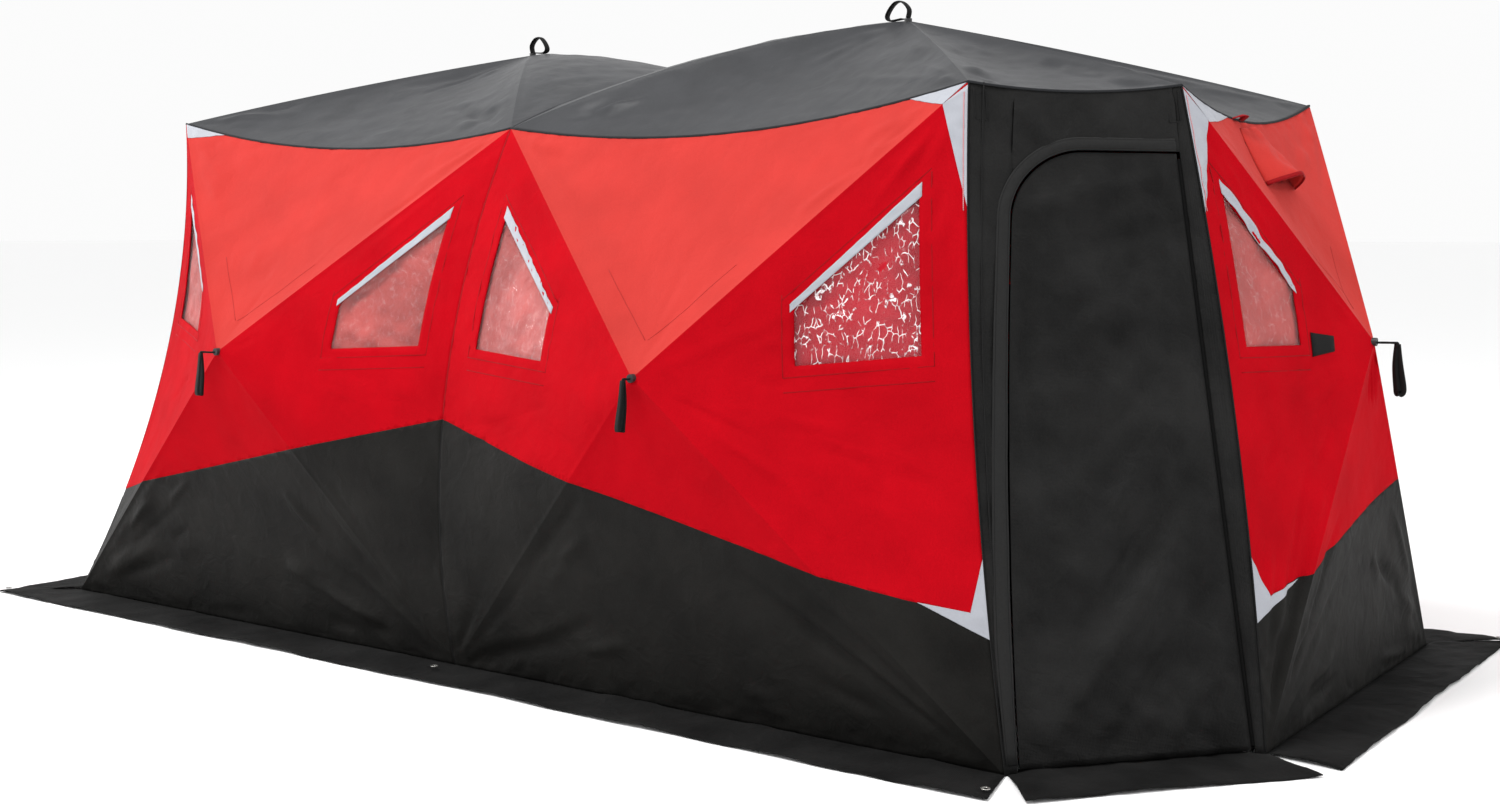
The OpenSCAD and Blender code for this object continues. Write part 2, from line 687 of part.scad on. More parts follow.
both_halves() long_skirt();  // long_wall_skirts
both_halves() end_skirt();  // end_wall_skirts
both_halves() door_skirt();  // door_skirts
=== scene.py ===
import math

import bmesh
import bpy
import numpy as np
from mathutils import Matrix, Vector


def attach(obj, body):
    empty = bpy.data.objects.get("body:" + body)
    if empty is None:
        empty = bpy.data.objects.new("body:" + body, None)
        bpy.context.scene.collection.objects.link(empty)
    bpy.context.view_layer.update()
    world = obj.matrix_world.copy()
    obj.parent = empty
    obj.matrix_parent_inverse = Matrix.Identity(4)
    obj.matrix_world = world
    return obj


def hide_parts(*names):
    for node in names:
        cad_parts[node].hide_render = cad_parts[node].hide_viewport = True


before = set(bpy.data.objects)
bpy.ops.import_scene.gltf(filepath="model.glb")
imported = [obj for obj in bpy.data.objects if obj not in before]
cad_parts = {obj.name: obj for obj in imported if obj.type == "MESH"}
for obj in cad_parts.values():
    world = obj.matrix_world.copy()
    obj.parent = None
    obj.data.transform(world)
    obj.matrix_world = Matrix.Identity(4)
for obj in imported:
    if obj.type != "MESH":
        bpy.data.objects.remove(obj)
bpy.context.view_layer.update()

# --- Camera ---------------------------------------------------------------
# The shelter is seen from the door corner, from a little below shoulder
# height, with the long wall running off to the left.


def placed(name, data):
    """An object for a mesh, a lamp or the camera, linked into the scene."""
    thing = bpy.data.objects.new(name, data)
    bpy.context.scene.collection.objects.link(thing)
    return thing


camera_data = bpy.data.cameras.new("camera")
camera_data.sensor_width = 36
camera_data.lens = 42.66
camera = placed("camera", camera_data)
camera.location = (3.798, -4.972, 1.388)
camera.rotation_euler = (math.radians(90 - 5.78), math.radians(0.03), math.radians(35.9))
bpy.context.scene.camera = camera

# --- Roof -----------------------------------------------------------------
# Two domes of dark grey coated polyester. Each is five wedges sewn along the
# pole lines and pulled tight over fibreglass poles that start at its hub.


def cad_corner(node, *toward):
    """The corner of a CAD node that lies farthest in a direction."""
    points = np.array([v.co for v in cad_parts[node].data.vertices], float)
    return points[np.argmax(points @ np.array(toward, float))]


def unit(v):
    return v / np.linalg.norm(v)


BOLT_HEAD = 0.008


def hub_point(*toward):
    """Where a hub's bolt crosses the fabric, and the bolt's inward axis."""
    points = np.array([v.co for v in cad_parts["hub_bolt_caps"].data.vertices], float)
    tip = points[np.argmax(points @ np.array(toward, float))]
    bolt = points[np.linalg.norm(points - tip, axis=1) < 0.06]
    along = bolt @ (bolt.mean(0) - np.array([0, 0, 1.0]))
    half = (along.min() + along.max()) / 2
    outer, inner = bolt[along > half].mean(0), bolt[along < half].mean(0)
    axis = unit(inner - outer)
    return outer + BOLT_HEAD * axis, axis


hub_1, axis_1 = hub_point(-0.5, -1, 0)
hub_2, axis_2 = hub_point(0.5, -1, 0)
hub_3, axis_3 = hub_point(1, 0, 0)
hub_roof, _ = hub_point(1, 0, 3)
top_left = cad_corner("front_left_upper_panel", -1, -1, 1)
top_mid = cad_corner("front_left_upper_panel", 1, -0.2, 0.6)
top_door = cad_corner("front_right_upper_panel", 1, -0.3, 0.6)
top_end = cad_corner("right_end_upper_panel", 0.5, -1, 1)
top_right = cad_corner("right_end_upper_panel", 0.5, 1, 1)
foot_left = cad_corner("front_left_lower_panels", -1, -1, -1)
foot_mid = cad_corner("front_left_lower_panels", 1, -0.1, -1)
foot_door = cad_corner("front_right_lower_panels", 1, -0.1, -1)
foot_end = cad_corner("right_end_lower_panels", 0.2, -1, -1)
foot_right = cad_corner("right_end_lower_panels", 0.2, 1, -1)
for corner in (foot_left, foot_mid, foot_door, foot_end, foot_right):
    corner[2] = 0.0
HALF_TURN = np.array([-1.0, -1.0, 1.0])
UP, DOWN = np.array([0, 0, 1.0]), np.array([0, 0, -1.0])
top_back = top_mid * HALF_TURN

HEM_SAG = np.array([0, 0, -0.078])
DOOR_SAG = HEM_SAG * 0.28
VALLEY_RISE = np.array([0, 0, 0.19])
NO_BOW = np.zeros(3)


def push(points, amount, way):
    """Points moved along a direction, each by its own amount."""
    return points + np.asarray(amount)[..., None] * way


def bowed(line, t):
    """Points of a sewn edge: two ends and how far its middle bows out."""
    a, b, bow = line
    t = np.asarray(t, float)[..., None]
    return a + (b - a) * t + 4 * t * (1 - t) * bow


def smooth(x):
    x = np.clip(x, 0, 1)
    return x * x * (3 - 2 * x)


def waves(points, seed, size, height, count=14):
    """Soft uneven waves of loose cloth."""
    draw = np.random.default_rng(seed)
    total = np.zeros(points.shape[:-1])
    for _ in range(count):
        heading = unit(draw.normal(size=3)) / (size * draw.uniform(0.5, 1.7))
        total += np.sin(points @ heading * 2 * math.pi + draw.uniform(0, 2 * math.pi))
    return total * height / math.sqrt(count)


def creases(points, runs):
    """Folds: each run is a start, an end, a height and a half width."""
    total = np.zeros(points.shape[:-1])
    for start, end, height, width in runs:
        along = end - start
        share = (points - start) @ along / (along @ along)
        away = np.linalg.norm(points - start - share[..., None] * along, axis=-1)
        taper = np.sin(math.pi * np.clip(share, 0, 1)) ** 0.7
        total += height * taper * np.exp(-((away / width) ** 2))
    return total


def pulled_folds(seed, corner, targets, count, reach, height, width):
    """Folds that fan out from a corner towards points of the same panel."""
    draw = np.random.default_rng(seed)
    runs = []
    for _ in range(count):
        share = draw.uniform(0.08, 0.92)
        heading = targets[0] * (1 - share) + targets[1] * share - corner
        near, far = sorted(draw.uniform(0.03, reach, 2))
        far = max(far, near + 0.12)
        runs.append((corner + heading * near, corner + heading * far,
                     height * draw.uniform(0.4, 1) * draw.choice([-1, 1]),
                     width * draw.uniform(0.6, 1.3)))
    return runs


def make_panel(hub, line, seed, dip=0.01, crown=(0, 0), window=False, runs=(),
               wave=0.0016, wave_size=0.3):
    """What one sewn wedge is: its hub, its far edge and its folds."""
    middle = bowed(line, 0.5)
    out = unit(np.cross(line[1] - line[0], middle - hub))
    if out @ ((hub + middle) / 2 - np.array([0, 0, 1.0])) < 0:
        out = -out
    edge = bowed(line, np.linspace(0, 1, 33))
    return {"hub": hub, "line": line, "seed": seed, "dip": dip, "crown": crown,
            "window": window, "runs": list(runs), "wave": wave, "size": wave_size,
            "out": out, "arc": np.linalg.norm(np.diff(edge, axis=0), axis=1).sum(),
            "reach": np.linalg.norm(middle - hub), "darts": [], "ridges": None, "pucker": 0.0}


def raise_ridges(panels, height):
    """Lets the poles push the fabric out along the lines between wedges."""
    for panel in panels:
        ways = []
        for end in (0, 1):
            corner = panel["line"][end]
            outs = [other["out"] for other in panels
                    if min(np.linalg.norm(other["line"][k] - corner) for k in (0, 1)) < 1e-6]
            ways.append(unit(sum(outs)) * (height if len(outs) > 1 else 0.0))
        panel["ridges"] = ways


WINDOW_NEAR, WINDOW_FAR, WINDOW_DROP, WINDOW_FOOT = 0.49, 0.86, 0.11, 0.40
RIDGE_WIDTH = 0.013


def window_top(r):
    return WINDOW_DROP / np.clip(r, WINDOW_NEAR, WINDOW_FAR)


def on_panel(panel, s, r, lift=0.0):
    """The point at share s along the far edge and share r out from the hub."""
    s, r = np.broadcast_arrays(np.asarray(s, float), np.asarray(r, float))
    far = bowed(panel["line"], s)
    points = panel["hub"] + (far - panel["hub"]) * r[..., None]
    crown = panel["crown"][0] * (1 - s) + panel["crown"][1] * s
    points[..., 2] += 4 * r * (1 - r) * crown
    width = panel["arc"] * r
    inside = np.minimum(np.minimum(s * width, (1 - s) * width), (1 - r) * panel["reach"])
    free = smooth(inside / 0.075)
    if panel["window"]:
        off_r = np.maximum(np.maximum(WINDOW_NEAR - r, r - WINDOW_FAR), 0) * panel["reach"]
        off_s = np.maximum(np.maximum(window_top(r) - s, s - WINDOW_FOOT), 0) * width
        free = free * smooth(np.hypot(off_r, off_s) / 0.05)
    depth = -panel["dip"] * 4 * s * (1 - s) * np.sin(math.pi * np.clip(r, 0, 1))
    loose = waves(points, panel["seed"], panel["size"], panel["wave"])
    loose = loose + waves(points, panel["seed"] + 900, panel["size"] / 3, panel["wave"] / 2.5)
    loose = loose + creases(points, panel["runs"])
    if panel["pucker"]:
        hem_off = (1 - r) * panel["reach"]
        tight = smooth(hem_off / 0.012) * np.exp(-((hem_off / 0.05) ** 2))
        if panel["window"]:
            off = np.hypot(off_r, off_s)
            tight = tight + smooth(off / 0.014) * np.exp(-((off / 0.055) ** 2))
        sides = smooth(np.minimum(s, 1 - s) * width / 0.05)
        loose_near = waves(points, panel["seed"] + 500, 0.055, panel["pucker"])
        total = depth + free * loose + sides * tight * loose_near
    else:
        total = depth + free * loose
    total = total + creases(points, panel["darts"]) + lift
    points = push(points, total, panel["out"])
    if panel["ridges"]:
        swell = np.sin(math.pi * np.clip(r, 0, 1)) ** 0.5
        for way, off_line in zip(panel["ridges"], (s * width, (1 - s) * width)):
            points = push(points, swell * np.exp(-((off_line / RIDGE_WIDTH) ** 2)), way)
    return points


ROWS = np.concatenate([np.linspace(0.006, 0.49, 30), np.linspace(0.49, 0.86, 25)[1:],
                       np.linspace(0.86, 1, 12)[1:]])


def gathered(count, both):
    """Shares from 0 to 1 that stand closer together by a pole line."""
    even = np.linspace(0, 1, count)
    if both:
        return 0.5 * even + 0.25 * (1 - np.cos(math.pi * even))
    return 0.45 * even + 0.55 * even ** 2


def panel_grid(panel, columns=100):
    """A wedge as a grid, with lines along its window's edges."""
    if panel["window"]:
        top = window_top(ROWS)[:, None]
        parts = [top * gathered(21, False)[:-1],
                 top + (WINDOW_FOOT - top) * np.linspace(0, 1, 22)[:-1],
                 1 - (1 - WINDOW_FOOT) * gathered(64, False)[::-1]
                 + np.zeros_like(top)]
        s = np.concatenate(parts, axis=1)
    else:
        s = gathered(columns, True)[None, :] + np.zeros((len(ROWS), 1))
    r = ROWS[:, None] + np.zeros_like(s)
    flat = np.stack([(s - 0.5) * panel["arc"] * r, r * panel["reach"]], axis=-1)
    hole = np.zeros((len(ROWS) - 1, s.shape[1] - 1), bool)
    if panel["window"]:
        mid_r = (ROWS[1:] + ROWS[:-1]) / 2
        hole[:, 20:41] = ((mid_r > WINDOW_NEAR) & (mid_r < WINDOW_FAR))[:, None]
    return {"points": on_panel(panel, s, r), "flat": flat, "hole": hole,
            "out": panel["out"], "lines": True}


def sewn_sheet(name, grids, thickness, cut=None, sharp=True):
    """One cloth piece from one or more grids, joined where their edges meet,
    cut by a plane where asked, and given its thickness on the inner side."""
    points, uvs, faces, on_line = [], [], [], []
    start = 0
    for index, grid in enumerate(grids):
        rows, columns = grid["points"].shape[:2]
        a = (np.arange(rows - 1)[:, None] * columns + np.arange(columns - 1)).ravel() + start
        quads = np.stack([a, a + 1, a + columns + 1, a + columns], axis=1)
        quads = quads[~grid["hole"].ravel()]
        flat_points = grid["points"].reshape(-1, 3)
        corners = flat_points[quads - start]
        facing = np.cross(corners[:, 2] - corners[:, 0], corners[:, 3] - corners[:, 1]).sum(0)
        if facing @ grid["out"] < 0:
            quads = quads[:, ::-1]
        mark = np.zeros((rows, columns), int)
        if grid.get("lines"):
            mark[:, 0] = 1
            mark[:, -1] = 1
        points.append(flat_points)
        uvs.append(grid["flat"].reshape(-1, 2))
        on_line.append(mark.ravel())
        faces.append(quads)
        start += rows * columns
    points, uvs, faces = np.concatenate(points), np.concatenate(uvs), np.concatenate(faces)
    on_line = np.concatenate(on_line)
    mesh = bpy.data.meshes.new(name)
    mesh.from_pydata(points.tolist(), [], faces.tolist())
    layer = mesh.uv_layers.new(name="cut")
    layer.data.foreach_set("uv", uvs[faces.ravel()].astype(np.float32).ravel())
    marks = mesh.attributes.new("pole_line", "INT", "POINT")
    marks.data.foreach_set("value", on_line.astype(np.int32))
    work = bmesh.new()
    work.from_mesh(mesh)
    bmesh.ops.remove_doubles(work, verts=work.verts, dist=2e-5)
    if cut is not None:
        bmesh.ops.bisect_plane(work, geom=[*work.verts, *work.edges, *work.faces],
                               plane_co=cut[0], plane_no=cut[1], clear_outer=True, dist=1e-5)
    loose = [v for v in work.verts if not v.link_faces]
    bmesh.ops.delete(work, geom=loose, context="VERTS")
    line_layer = work.verts.layers.int["pole_line"]
    for face in work.faces:
        face.smooth = True
    for edge in work.edges:
        if sharp and edge.verts[0][line_layer] and edge.verts[1][line_layer]:
            edge.smooth = False
    work.to_mesh(mesh)
    work.free()
    mesh.attributes.remove(mesh.attributes["pole_line"])
    piece = placed(name, mesh)
    if thickness:
        finish_with(piece, "SOLIDIFY", thickness=thickness, offset=-1, use_even_offset=False)
    return piece


def finish_with(piece, kind, **settings):
    """Adds a modifier and applies it."""
    modifier = piece.modifiers.new(kind.lower(), kind)
    for key, value in settings.items():
        setattr(modifier, key, value)
    bpy.ops.object.select_all(action="DESELECT")
    bpy.context.view_layer.objects.active = piece
    piece.select_set(True)
    bpy.ops.object.modifier_apply(modifier=modifier.name)
    piece.select_set(False)


def turned_copy(piece, name):
    """The same piece on the other half of the shelter, with its own mesh."""
    mesh = piece.data.copy()
    mesh.name = name
    mesh.transform(Matrix.Rotation(math.pi, 4, "Z"))
    return placed(name, mesh)


def new_material(name, **values):
    """A material with values on its shader, and what its node makers need."""
    material = bpy.data.materials.new(name)
    material.use_nodes = True
    shader = material.node_tree.nodes["Principled BSDF"]
    put(material, shader, {key.replace("_", " "): value for key, value in values.items()})
    return material, shader


def put(material, node, inputs):
    """Sets or links the inputs of a node."""
    for key, value in inputs.items():
        if isinstance(value, bpy.types.NodeSocket):
            material.node_tree.links.new(value, node.inputs[key])
        else:
            node.inputs[key].default_value = value


def add_node(material, kind, inputs, **settings):
    """A new node; the socket that is returned is its first output."""
    node = material.node_tree.nodes.new("ShaderNode" + kind)
    for key, value in settings.items():
        setattr(node, key, value)
    put(material, node, inputs)
    return node.outputs[0]


def spot_on(material, output):
    """Where a point lies: Object for the part's frame, UV for the cut cloth."""
    return material.node_tree.nodes.new("ShaderNodeTexCoord").outputs[output]


def add_math(material, operation, *values):
    return add_node(material, "Math", dict(enumerate(values)), operation=operation)


def add_ramp(material, factor, dark, light, positions=(0, 1)):
    colour = add_node(material, "ValToRGB", {"Fac": factor})
    for stop, tone, position in zip(colour.node.color_ramp.elements, (dark, light), positions):
        stop.color, stop.position = (*tone, 1), position
    return colour


def add_range(material, value, low, high, start=0.0, end=1.0):
    return add_node(material, "MapRange", {"Value": value, "From Min": start, "From Max": end,
                                           "To Min": low, "To Max": high})


def add_bump(material, height, strength, distance, normal=None):
    inputs = {"Height": height, "Strength": strength, "Distance": distance}
    if normal:
        inputs["Normal"] = normal
    return add_node(material, "Bump", inputs)


def tones(colour, low, high):
    return [c * low for c in colour], [min(1, c * high) for c in colour]


def woven_cloth(name, colour, weave=0.0028, weave_depth=0.25, shade=0.16,
                roughness=0.72, sheen=0.15, crumple=0.25, gloss=0.12):
    """Coated canvas: a plain weave, cloudy colour, small creases and sheen."""
    material, shader = new_material(name, Sheen_Weight=sheen, Sheen_Roughness=0.5,
                                    Specular_IOR_Level=gloss)
    on_cloth, in_frame = spot_on(material, "UV"), spot_on(material, "Object")
    threads = [add_node(material, "TexWave", {"Vector": on_cloth, "Scale": 0.314 / weave,
                                              "Distortion": 0.6, "Detail": 1.0},
                        wave_type="BANDS", bands_direction=way).node.outputs["Fac"]
               for way in ("X", "Y")]
    clouds, grain, small = [
        add_node(material, "TexNoise", {"Vector": in_frame, "Scale": scale, "Detail": detail,
                                        "Distortion": distortion})
        for scale, detail, distortion in ((5.0, 5.0, 0.0), (260.0, 3.0, 0.0), (17.0, 4.0, 0.8))]
    cloudy = add_math(material, "MULTIPLY_ADD", grain, 0.55, clouds)
    base = add_ramp(material, cloudy, *tones(colour, 1 - shade, 1 + shade), (0.5, 1.05))
    crumples = add_bump(material, small, crumple, 0.006)
    normal = add_bump(material, add_math(material, "MULTIPLY", *threads), weave_depth, 0.0006,
                      crumples)
    put(material, shader, {"Base Color": base, "Normal": normal, "Roughness": add_range(
        material, small, roughness - 0.08, roughness + 0.08)})
    return material


def set_out(piece, material, slot, *nodes, body="shelter"):
    piece.data.materials.clear()
    piece.data.materials.append(material)
    if nodes:
        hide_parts(*nodes)
    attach(piece, body)
    return piece


def plain_grid(points, out, across, along):
    """A grid with no hole; across and along are its places on the cut cloth."""
    across, along = np.broadcast_arrays(across, along)
    return {"points": points, "out": out, "flat": np.stack([across, along], axis=-1),
            "hole": np.zeros((points.shape[0] - 1, points.shape[1] - 1), bool)}


def half_area(piece):
    """One side's area of a sheet that has been given its thickness."""
    return sum(face.area for face in piece.data.polygons) / 2


def both_halves(piece, other, material, slot, *nodes):
    """Sets out a piece and its turned copy, which stand for the same nodes."""
    copy = turned_copy(piece, other)
    for one in (piece, copy):
        set_out(one, material, slot, *nodes)
    return piece, copy


roof_cloth = woven_cloth("roof_polyester", (0.033, 0.034, 0.037), weave=0.0022, gloss=0.16,
                         weave_depth=0.15, roughness=0.42, sheen=0.015, crumple=0.25)
MID_CROWN, CORNER_CROWN = 0.055, 0.010
roof_edges = [
    (top_mid, top_door, HEM_SAG, MID_CROWN, CORNER_CROWN),
    (top_door, top_end, DOOR_SAG, CORNER_CROWN, CORNER_CROWN),
    (top_end, top_right, HEM_SAG, CORNER_CROWN, CORNER_CROWN),
    (top_right, top_back, HEM_SAG, CORNER_CROWN, MID_CROWN),
    (top_back, top_mid, VALLEY_RISE, MID_CROWN, MID_CROWN),
]
roof_panels = []
for index, (a, b, bow, crown_a, crown_b) in enumerate(roof_edges):
    middle = (a + b) / 2
    runs = pulled_folds(40 + index, a, [hub_roof, middle], 8, 0.75, 0.010, 0.026)
    runs += pulled_folds(60 + index, b, [hub_roof, middle], 8, 0.75, 0.010, 0.026)
    runs += pulled_folds(70 + index, hub_roof, [a, b], 7, 0.6, 0.006, 0.025)
    if index == 4:
        runs += pulled_folds(80, b, [hub_roof, middle], 6, 0.9, 0.014, 0.03)
        runs += pulled_folds(81, a, [hub_roof, middle], 6, 0.9, 0.014, 0.03)
    roof_panels.append(make_panel(hub_roof, (a, b, bow), 10 + index, dip=0.022,
                                  crown=(crown_a, crown_b), runs=runs, wave=0.0022))
raise_ridges(roof_panels, 0.0025)
grids = [panel_grid(p) for p in roof_panels]
roof_right = sewn_sheet("roof_right_cloth", grids, 0.003)
roof_left = turned_copy(roof_right, "roof_left_cloth")
for piece, node in ((roof_right, "roof_right_dome"), (roof_left, "roof_left_dome")):
    set_out(piece, roof_cloth, "roof_fabric", node)

# --- Red upper and side panels, black lower panels --------------------------
# Quilted red polyester canvas. Each wall bay is four wedges sewn along the pole
# lines; the lower part is black canvas, seamed on along a slanting line.
DOOR_DIR = unit(foot_end - foot_door)
SEAM_BOW = 0.035
left_bow = np.array([0.084, 0.084, 0])
right_bow = -left_bow
mid_bow = np.array([0, -0.17, 0])
door_bow, end_bow = -SEAM_BOW * DOOR_DIR, SEAM_BOW * DOOR_DIR
# The red canvas comes as two copies of one cloth: the upper copy is a lighter red, painted light
# for panels that face up to the lamps, and the side copy a darker red, painted shade.
red_painted_lit_copy = woven_cloth("red_canvas_painted_lit_copy", (0.46, 0.033, 0.027), shade=0.08, sheen=0.03,
                        roughness=0.8, crumple=0.35, gloss=0.06)
red_painted_shade_copy = woven_cloth("red_canvas_painted_shade_copy", (0.40, 0.0016, 0.0065), shade=0.12, sheen=0.0,
                       roughness=0.8, crumple=0.45, gloss=0.03)
black_lower = woven_cloth("black_lower_canvas", (0.0088, 0.0084, 0.0076), shade=0.45, gloss=0.08,
                          weave_depth=0.5, roughness=0.62, sheen=0.012, crumple=0.7)
WALL_CLOTH, LEAST_SHARE = 0.003, 0.3
BAND_LOW, BAND_MID, BAND_END = 0.35, 0.79, 0.75


def make_bay(hub, tl, tr, br, bl, bow_l, bow_r, seed):
    """The four wedges of a wall bay: upper, left, right and foot."""
    low = (bl + br) / 2
    folds = {"upper": [], "left": [], "right": [], "foot": []}
    for index, (wedge, corner, targets, *shape) in enumerate((
            ("upper", tl, (hub, (tl + tr) / 2), 9, 0.6, 0.009, 0.02),
            ("upper", tr, (hub, (tl + tr) / 2), 9, 0.6, 0.009, 0.02),
            ("upper", hub, (tl, tr), 6, 0.6, 0.005, 0.02),
            ("left", tl, (hub, (tl + bl) / 2), 9, 0.6, 0.009, 0.017),
            ("left", hub, (tl, bl), 7, 0.7, 0.008, 0.018),
            ("left", bl, (hub, (tl + bl) / 2), 10, 0.8, 0.013, 0.02),
            ("right", tr, (hub, (tr + br) / 2), 9, 0.6, 0.009, 0.017),
            ("right", hub, (tr, br), 7, 0.7, 0.008, 0.018),
            ("right", br, (hub, (tr + br) / 2), 10, 0.8, 0.013, 0.02),
            ("foot", bl, (hub, low), 10, 0.8, 0.013, 0.02),
            ("foot", br, (hub, low), 10, 0.8, 0.013, 0.02))):
        folds[wedge] += pulled_folds(seed + index, corner, targets, *shape)
    draw = np.random.default_rng(seed + 40)
    edges = {"upper": (tl, tr, HEM_SAG), "left": (tl, bl, bow_l), "right": (tr, br, bow_r),
             "foot": (bl, br, NO_BOW)}
    for wedge in ("left", "right"):
        # Pull lines below the window, along its foot
        for _ in range(9):
            s = WINDOW_FOOT + draw.uniform(0.03, 0.24)
            near, far = sorted(draw.uniform(0.42, 0.97, 2))
            far = max(far, near + 0.12)
            tilt = draw.uniform(-0.02, 0.02)
            ends = [hub + (bowed(edges[wedge], k) - hub) * q
                    for k, q in ((s, near), (s + tilt, far))]
            folds[wedge].append((*ends, draw.uniform(0.002, 0.006) * draw.choice([-1, 1]),
                                 draw.uniform(0.007, 0.013)))
    bay = {}
    for index, (wedge, line) in enumerate(edges.items()):
        bay[wedge] = make_panel(hub, line, seed + 20 + index, runs=folds[wedge],
                                window=wedge in ("left", "right"),
                                dip=0.014 if wedge == "foot" else 0.01)
        bay[wedge]["pucker"] = 0.003 if wedge == "foot" else 0.0022
    raise_ridges(list(bay.values()), 0.002)
    bay.update(hub=hub, corners=(tl, tr, br, bl))
    side = unit(tr - tl)
    for shift, depth in ((0.020, -0.020), (0.036, -0.012), (0.004, -0.010)):
        start = hub + side * shift + DOWN * 0.03
        end = start + DOWN * 0.15 + side * shift * 0.7
        bay["foot"]["darts"].append((start, end, depth, 0.008))
    return bay


bay_1 = make_bay(hub_1, top_left, top_mid, foot_mid, foot_left, left_bow, mid_bow, 100)
bay_2 = make_bay(hub_2, top_mid, top_door, foot_door, foot_mid, mid_bow, door_bow, 200)
bay_3 = make_bay(hub_3, top_end, top_right, foot_right, foot_end, end_bow, right_bow, 300)


def band_plane(low_point, high_point, level):
    """Plane through the band's slanting line and a level direction."""
    normal = unit(np.cross(high_point - low_point, level))
    return low_point, normal if normal[2] > 0 else -normal


Y_AXIS, X_AXIS = np.array([0, 1.0, 0]), np.array([1.0, 0, 0])
band_1 = band_plane(np.array([foot_left[0] - 0.05, 0, BAND_LOW]),
                    np.array([foot_mid[0], 0, BAND_MID]), Y_AXIS)
band_2 = band_plane(np.array([foot_door[0] + 0.05, 0, BAND_LOW]),
                    np.array([foot_mid[0], 0, BAND_MID]), Y_AXIS)
band_3 = band_plane(np.array([0, foot_end[1] - 0.09, BAND_LOW]),
                    np.array([0, foot_right[1] + 0.09, BAND_END]), X_AXIS)
VENT_MID, VENT_HALF, VENT_LOW, VENT_HIGH = 0.45, 0.16, 0.70, 0.96
bays = {"front_left": (bay_1, band_1, "back_right"), "front_right": (bay_2, band_2, "back_left"),
        "right_end": (bay_3, band_3, "left_end")}
for name, (bay, band, other) in bays.items():
    upper_grid = panel_grid(bay["upper"])
    if name == "right_end":
        mid_r = (ROWS[1:] + ROWS[:-1]) / 2
        mid_s = (gathered(100, True)[1:] + gathered(100, True)[:-1]) / 2
        upper_grid["hole"] |= ((mid_r > VENT_LOW + 0.04) & (mid_r < VENT_HIGH - 0.06))[:, None] \
            & (abs(mid_s - VENT_MID) < VENT_HALF * 0.6)
    wall_grids = [panel_grid(bay[k]) for k in ("left", "right", "foot")]
    point, normal = band
    made = {
        "upper": sewn_sheet(name + "_upper_cloth", [upper_grid], WALL_CLOTH),
        "side": sewn_sheet(name + "_side_cloth", wall_grids, WALL_CLOTH, cut=(point, -normal)),
        "lower": sewn_sheet(name + "_lower_cloth", wall_grids, WALL_CLOTH, cut=(point, normal))}
    # Upper cloths take the red copy with painted light, side cloths the copy with painted shade.
    finish = {"upper": (red_painted_lit_copy, "upper_fabric", "_upper_panel"),
              "side": (red_painted_shade_copy, "side_fabric", "_side_panels"),
              "lower": (black_lower, "lower_fabric", "_lower_panels")}
    for part, piece in made.items():
        copy = turned_copy(piece, other + "_" + part + "_cloth")
        for sheet, side in ((piece, name), (copy, other)):
            set_out(sheet, finish[part][0], finish[part][1], side + finish[part][2])

# --- Seams and stitch lines ------------------------------------------------
# Narrow welts where two bays are joined, along the hem, and the double stitched
# lines that hold the inner pockets: folded canvas with thread along it.


def strip_mesh(paths, width, height):
    """Flat-backed strips with rounded backs along paths of points and normals.
    The width is one value, or one for each point of a path."""
    points, faces, uvs = [], [], []
    profile = ((-0.5, -0.3), (-0.42, 0.6), (-0.2, 0.95), (0.2, 0.95), (0.42, 0.6), (0.5, -0.3))
    for line, normals in paths:
        line, normals = np.asarray(line, float), np.asarray(normals, float)
        if normals.ndim == 1:
            normals = np.tile(normals, (len(line), 1))
        tangent = np.gradient(line, axis=0)
        side = np.cross(tangent, normals)
        side /= np.linalg.norm(side, axis=1)[:, None]
        up = np.cross(side, tangent)
        up /= np.linalg.norm(up, axis=1)[:, None]
        start, count, n = len(points), len(line), len(profile)
        run = np.concatenate([[0], np.cumsum(np.linalg.norm(np.diff(line, axis=0), axis=1))])
        wide = np.broadcast_to(width, count)
        for i in range(count):
            for across, rise in profile:
                points.append(line[i] + side[i] * across * wide[i] + up[i] * rise * height)
                uvs.append((run[i], across * wide[i]))
        for i in range(count - 1):
            for k in range(n):
                a, b = start + i * n + k, start + i * n + (k + 1) % n
                faces.append((a, b, b + n, a + n))
        faces.append(tuple(start + k for k in reversed(range(n))))
        faces.append(tuple(start + (count - 1) * n + k for k in range(n)))
    return points, faces, uvs


def strips(name, paths, width, height):
    points, faces, uvs = strip_mesh(paths, width, height)
    mesh = bpy.data.meshes.new(name)
    mesh.from_pydata([tuple(p) for p in points], [], faces)
    layer = mesh.uv_layers.new(name="cut")
    for loop in mesh.loops:
        layer.data[loop.index].uv = uvs[loop.vertex_index]
    work = bmesh.new()
    work.from_mesh(mesh)
    bmesh.ops.recalc_face_normals(work, faces=work.faces)
    for face in work.faces:
        face.smooth = True
    work.to_mesh(mesh)
    work.free()
    return placed(name, mesh)


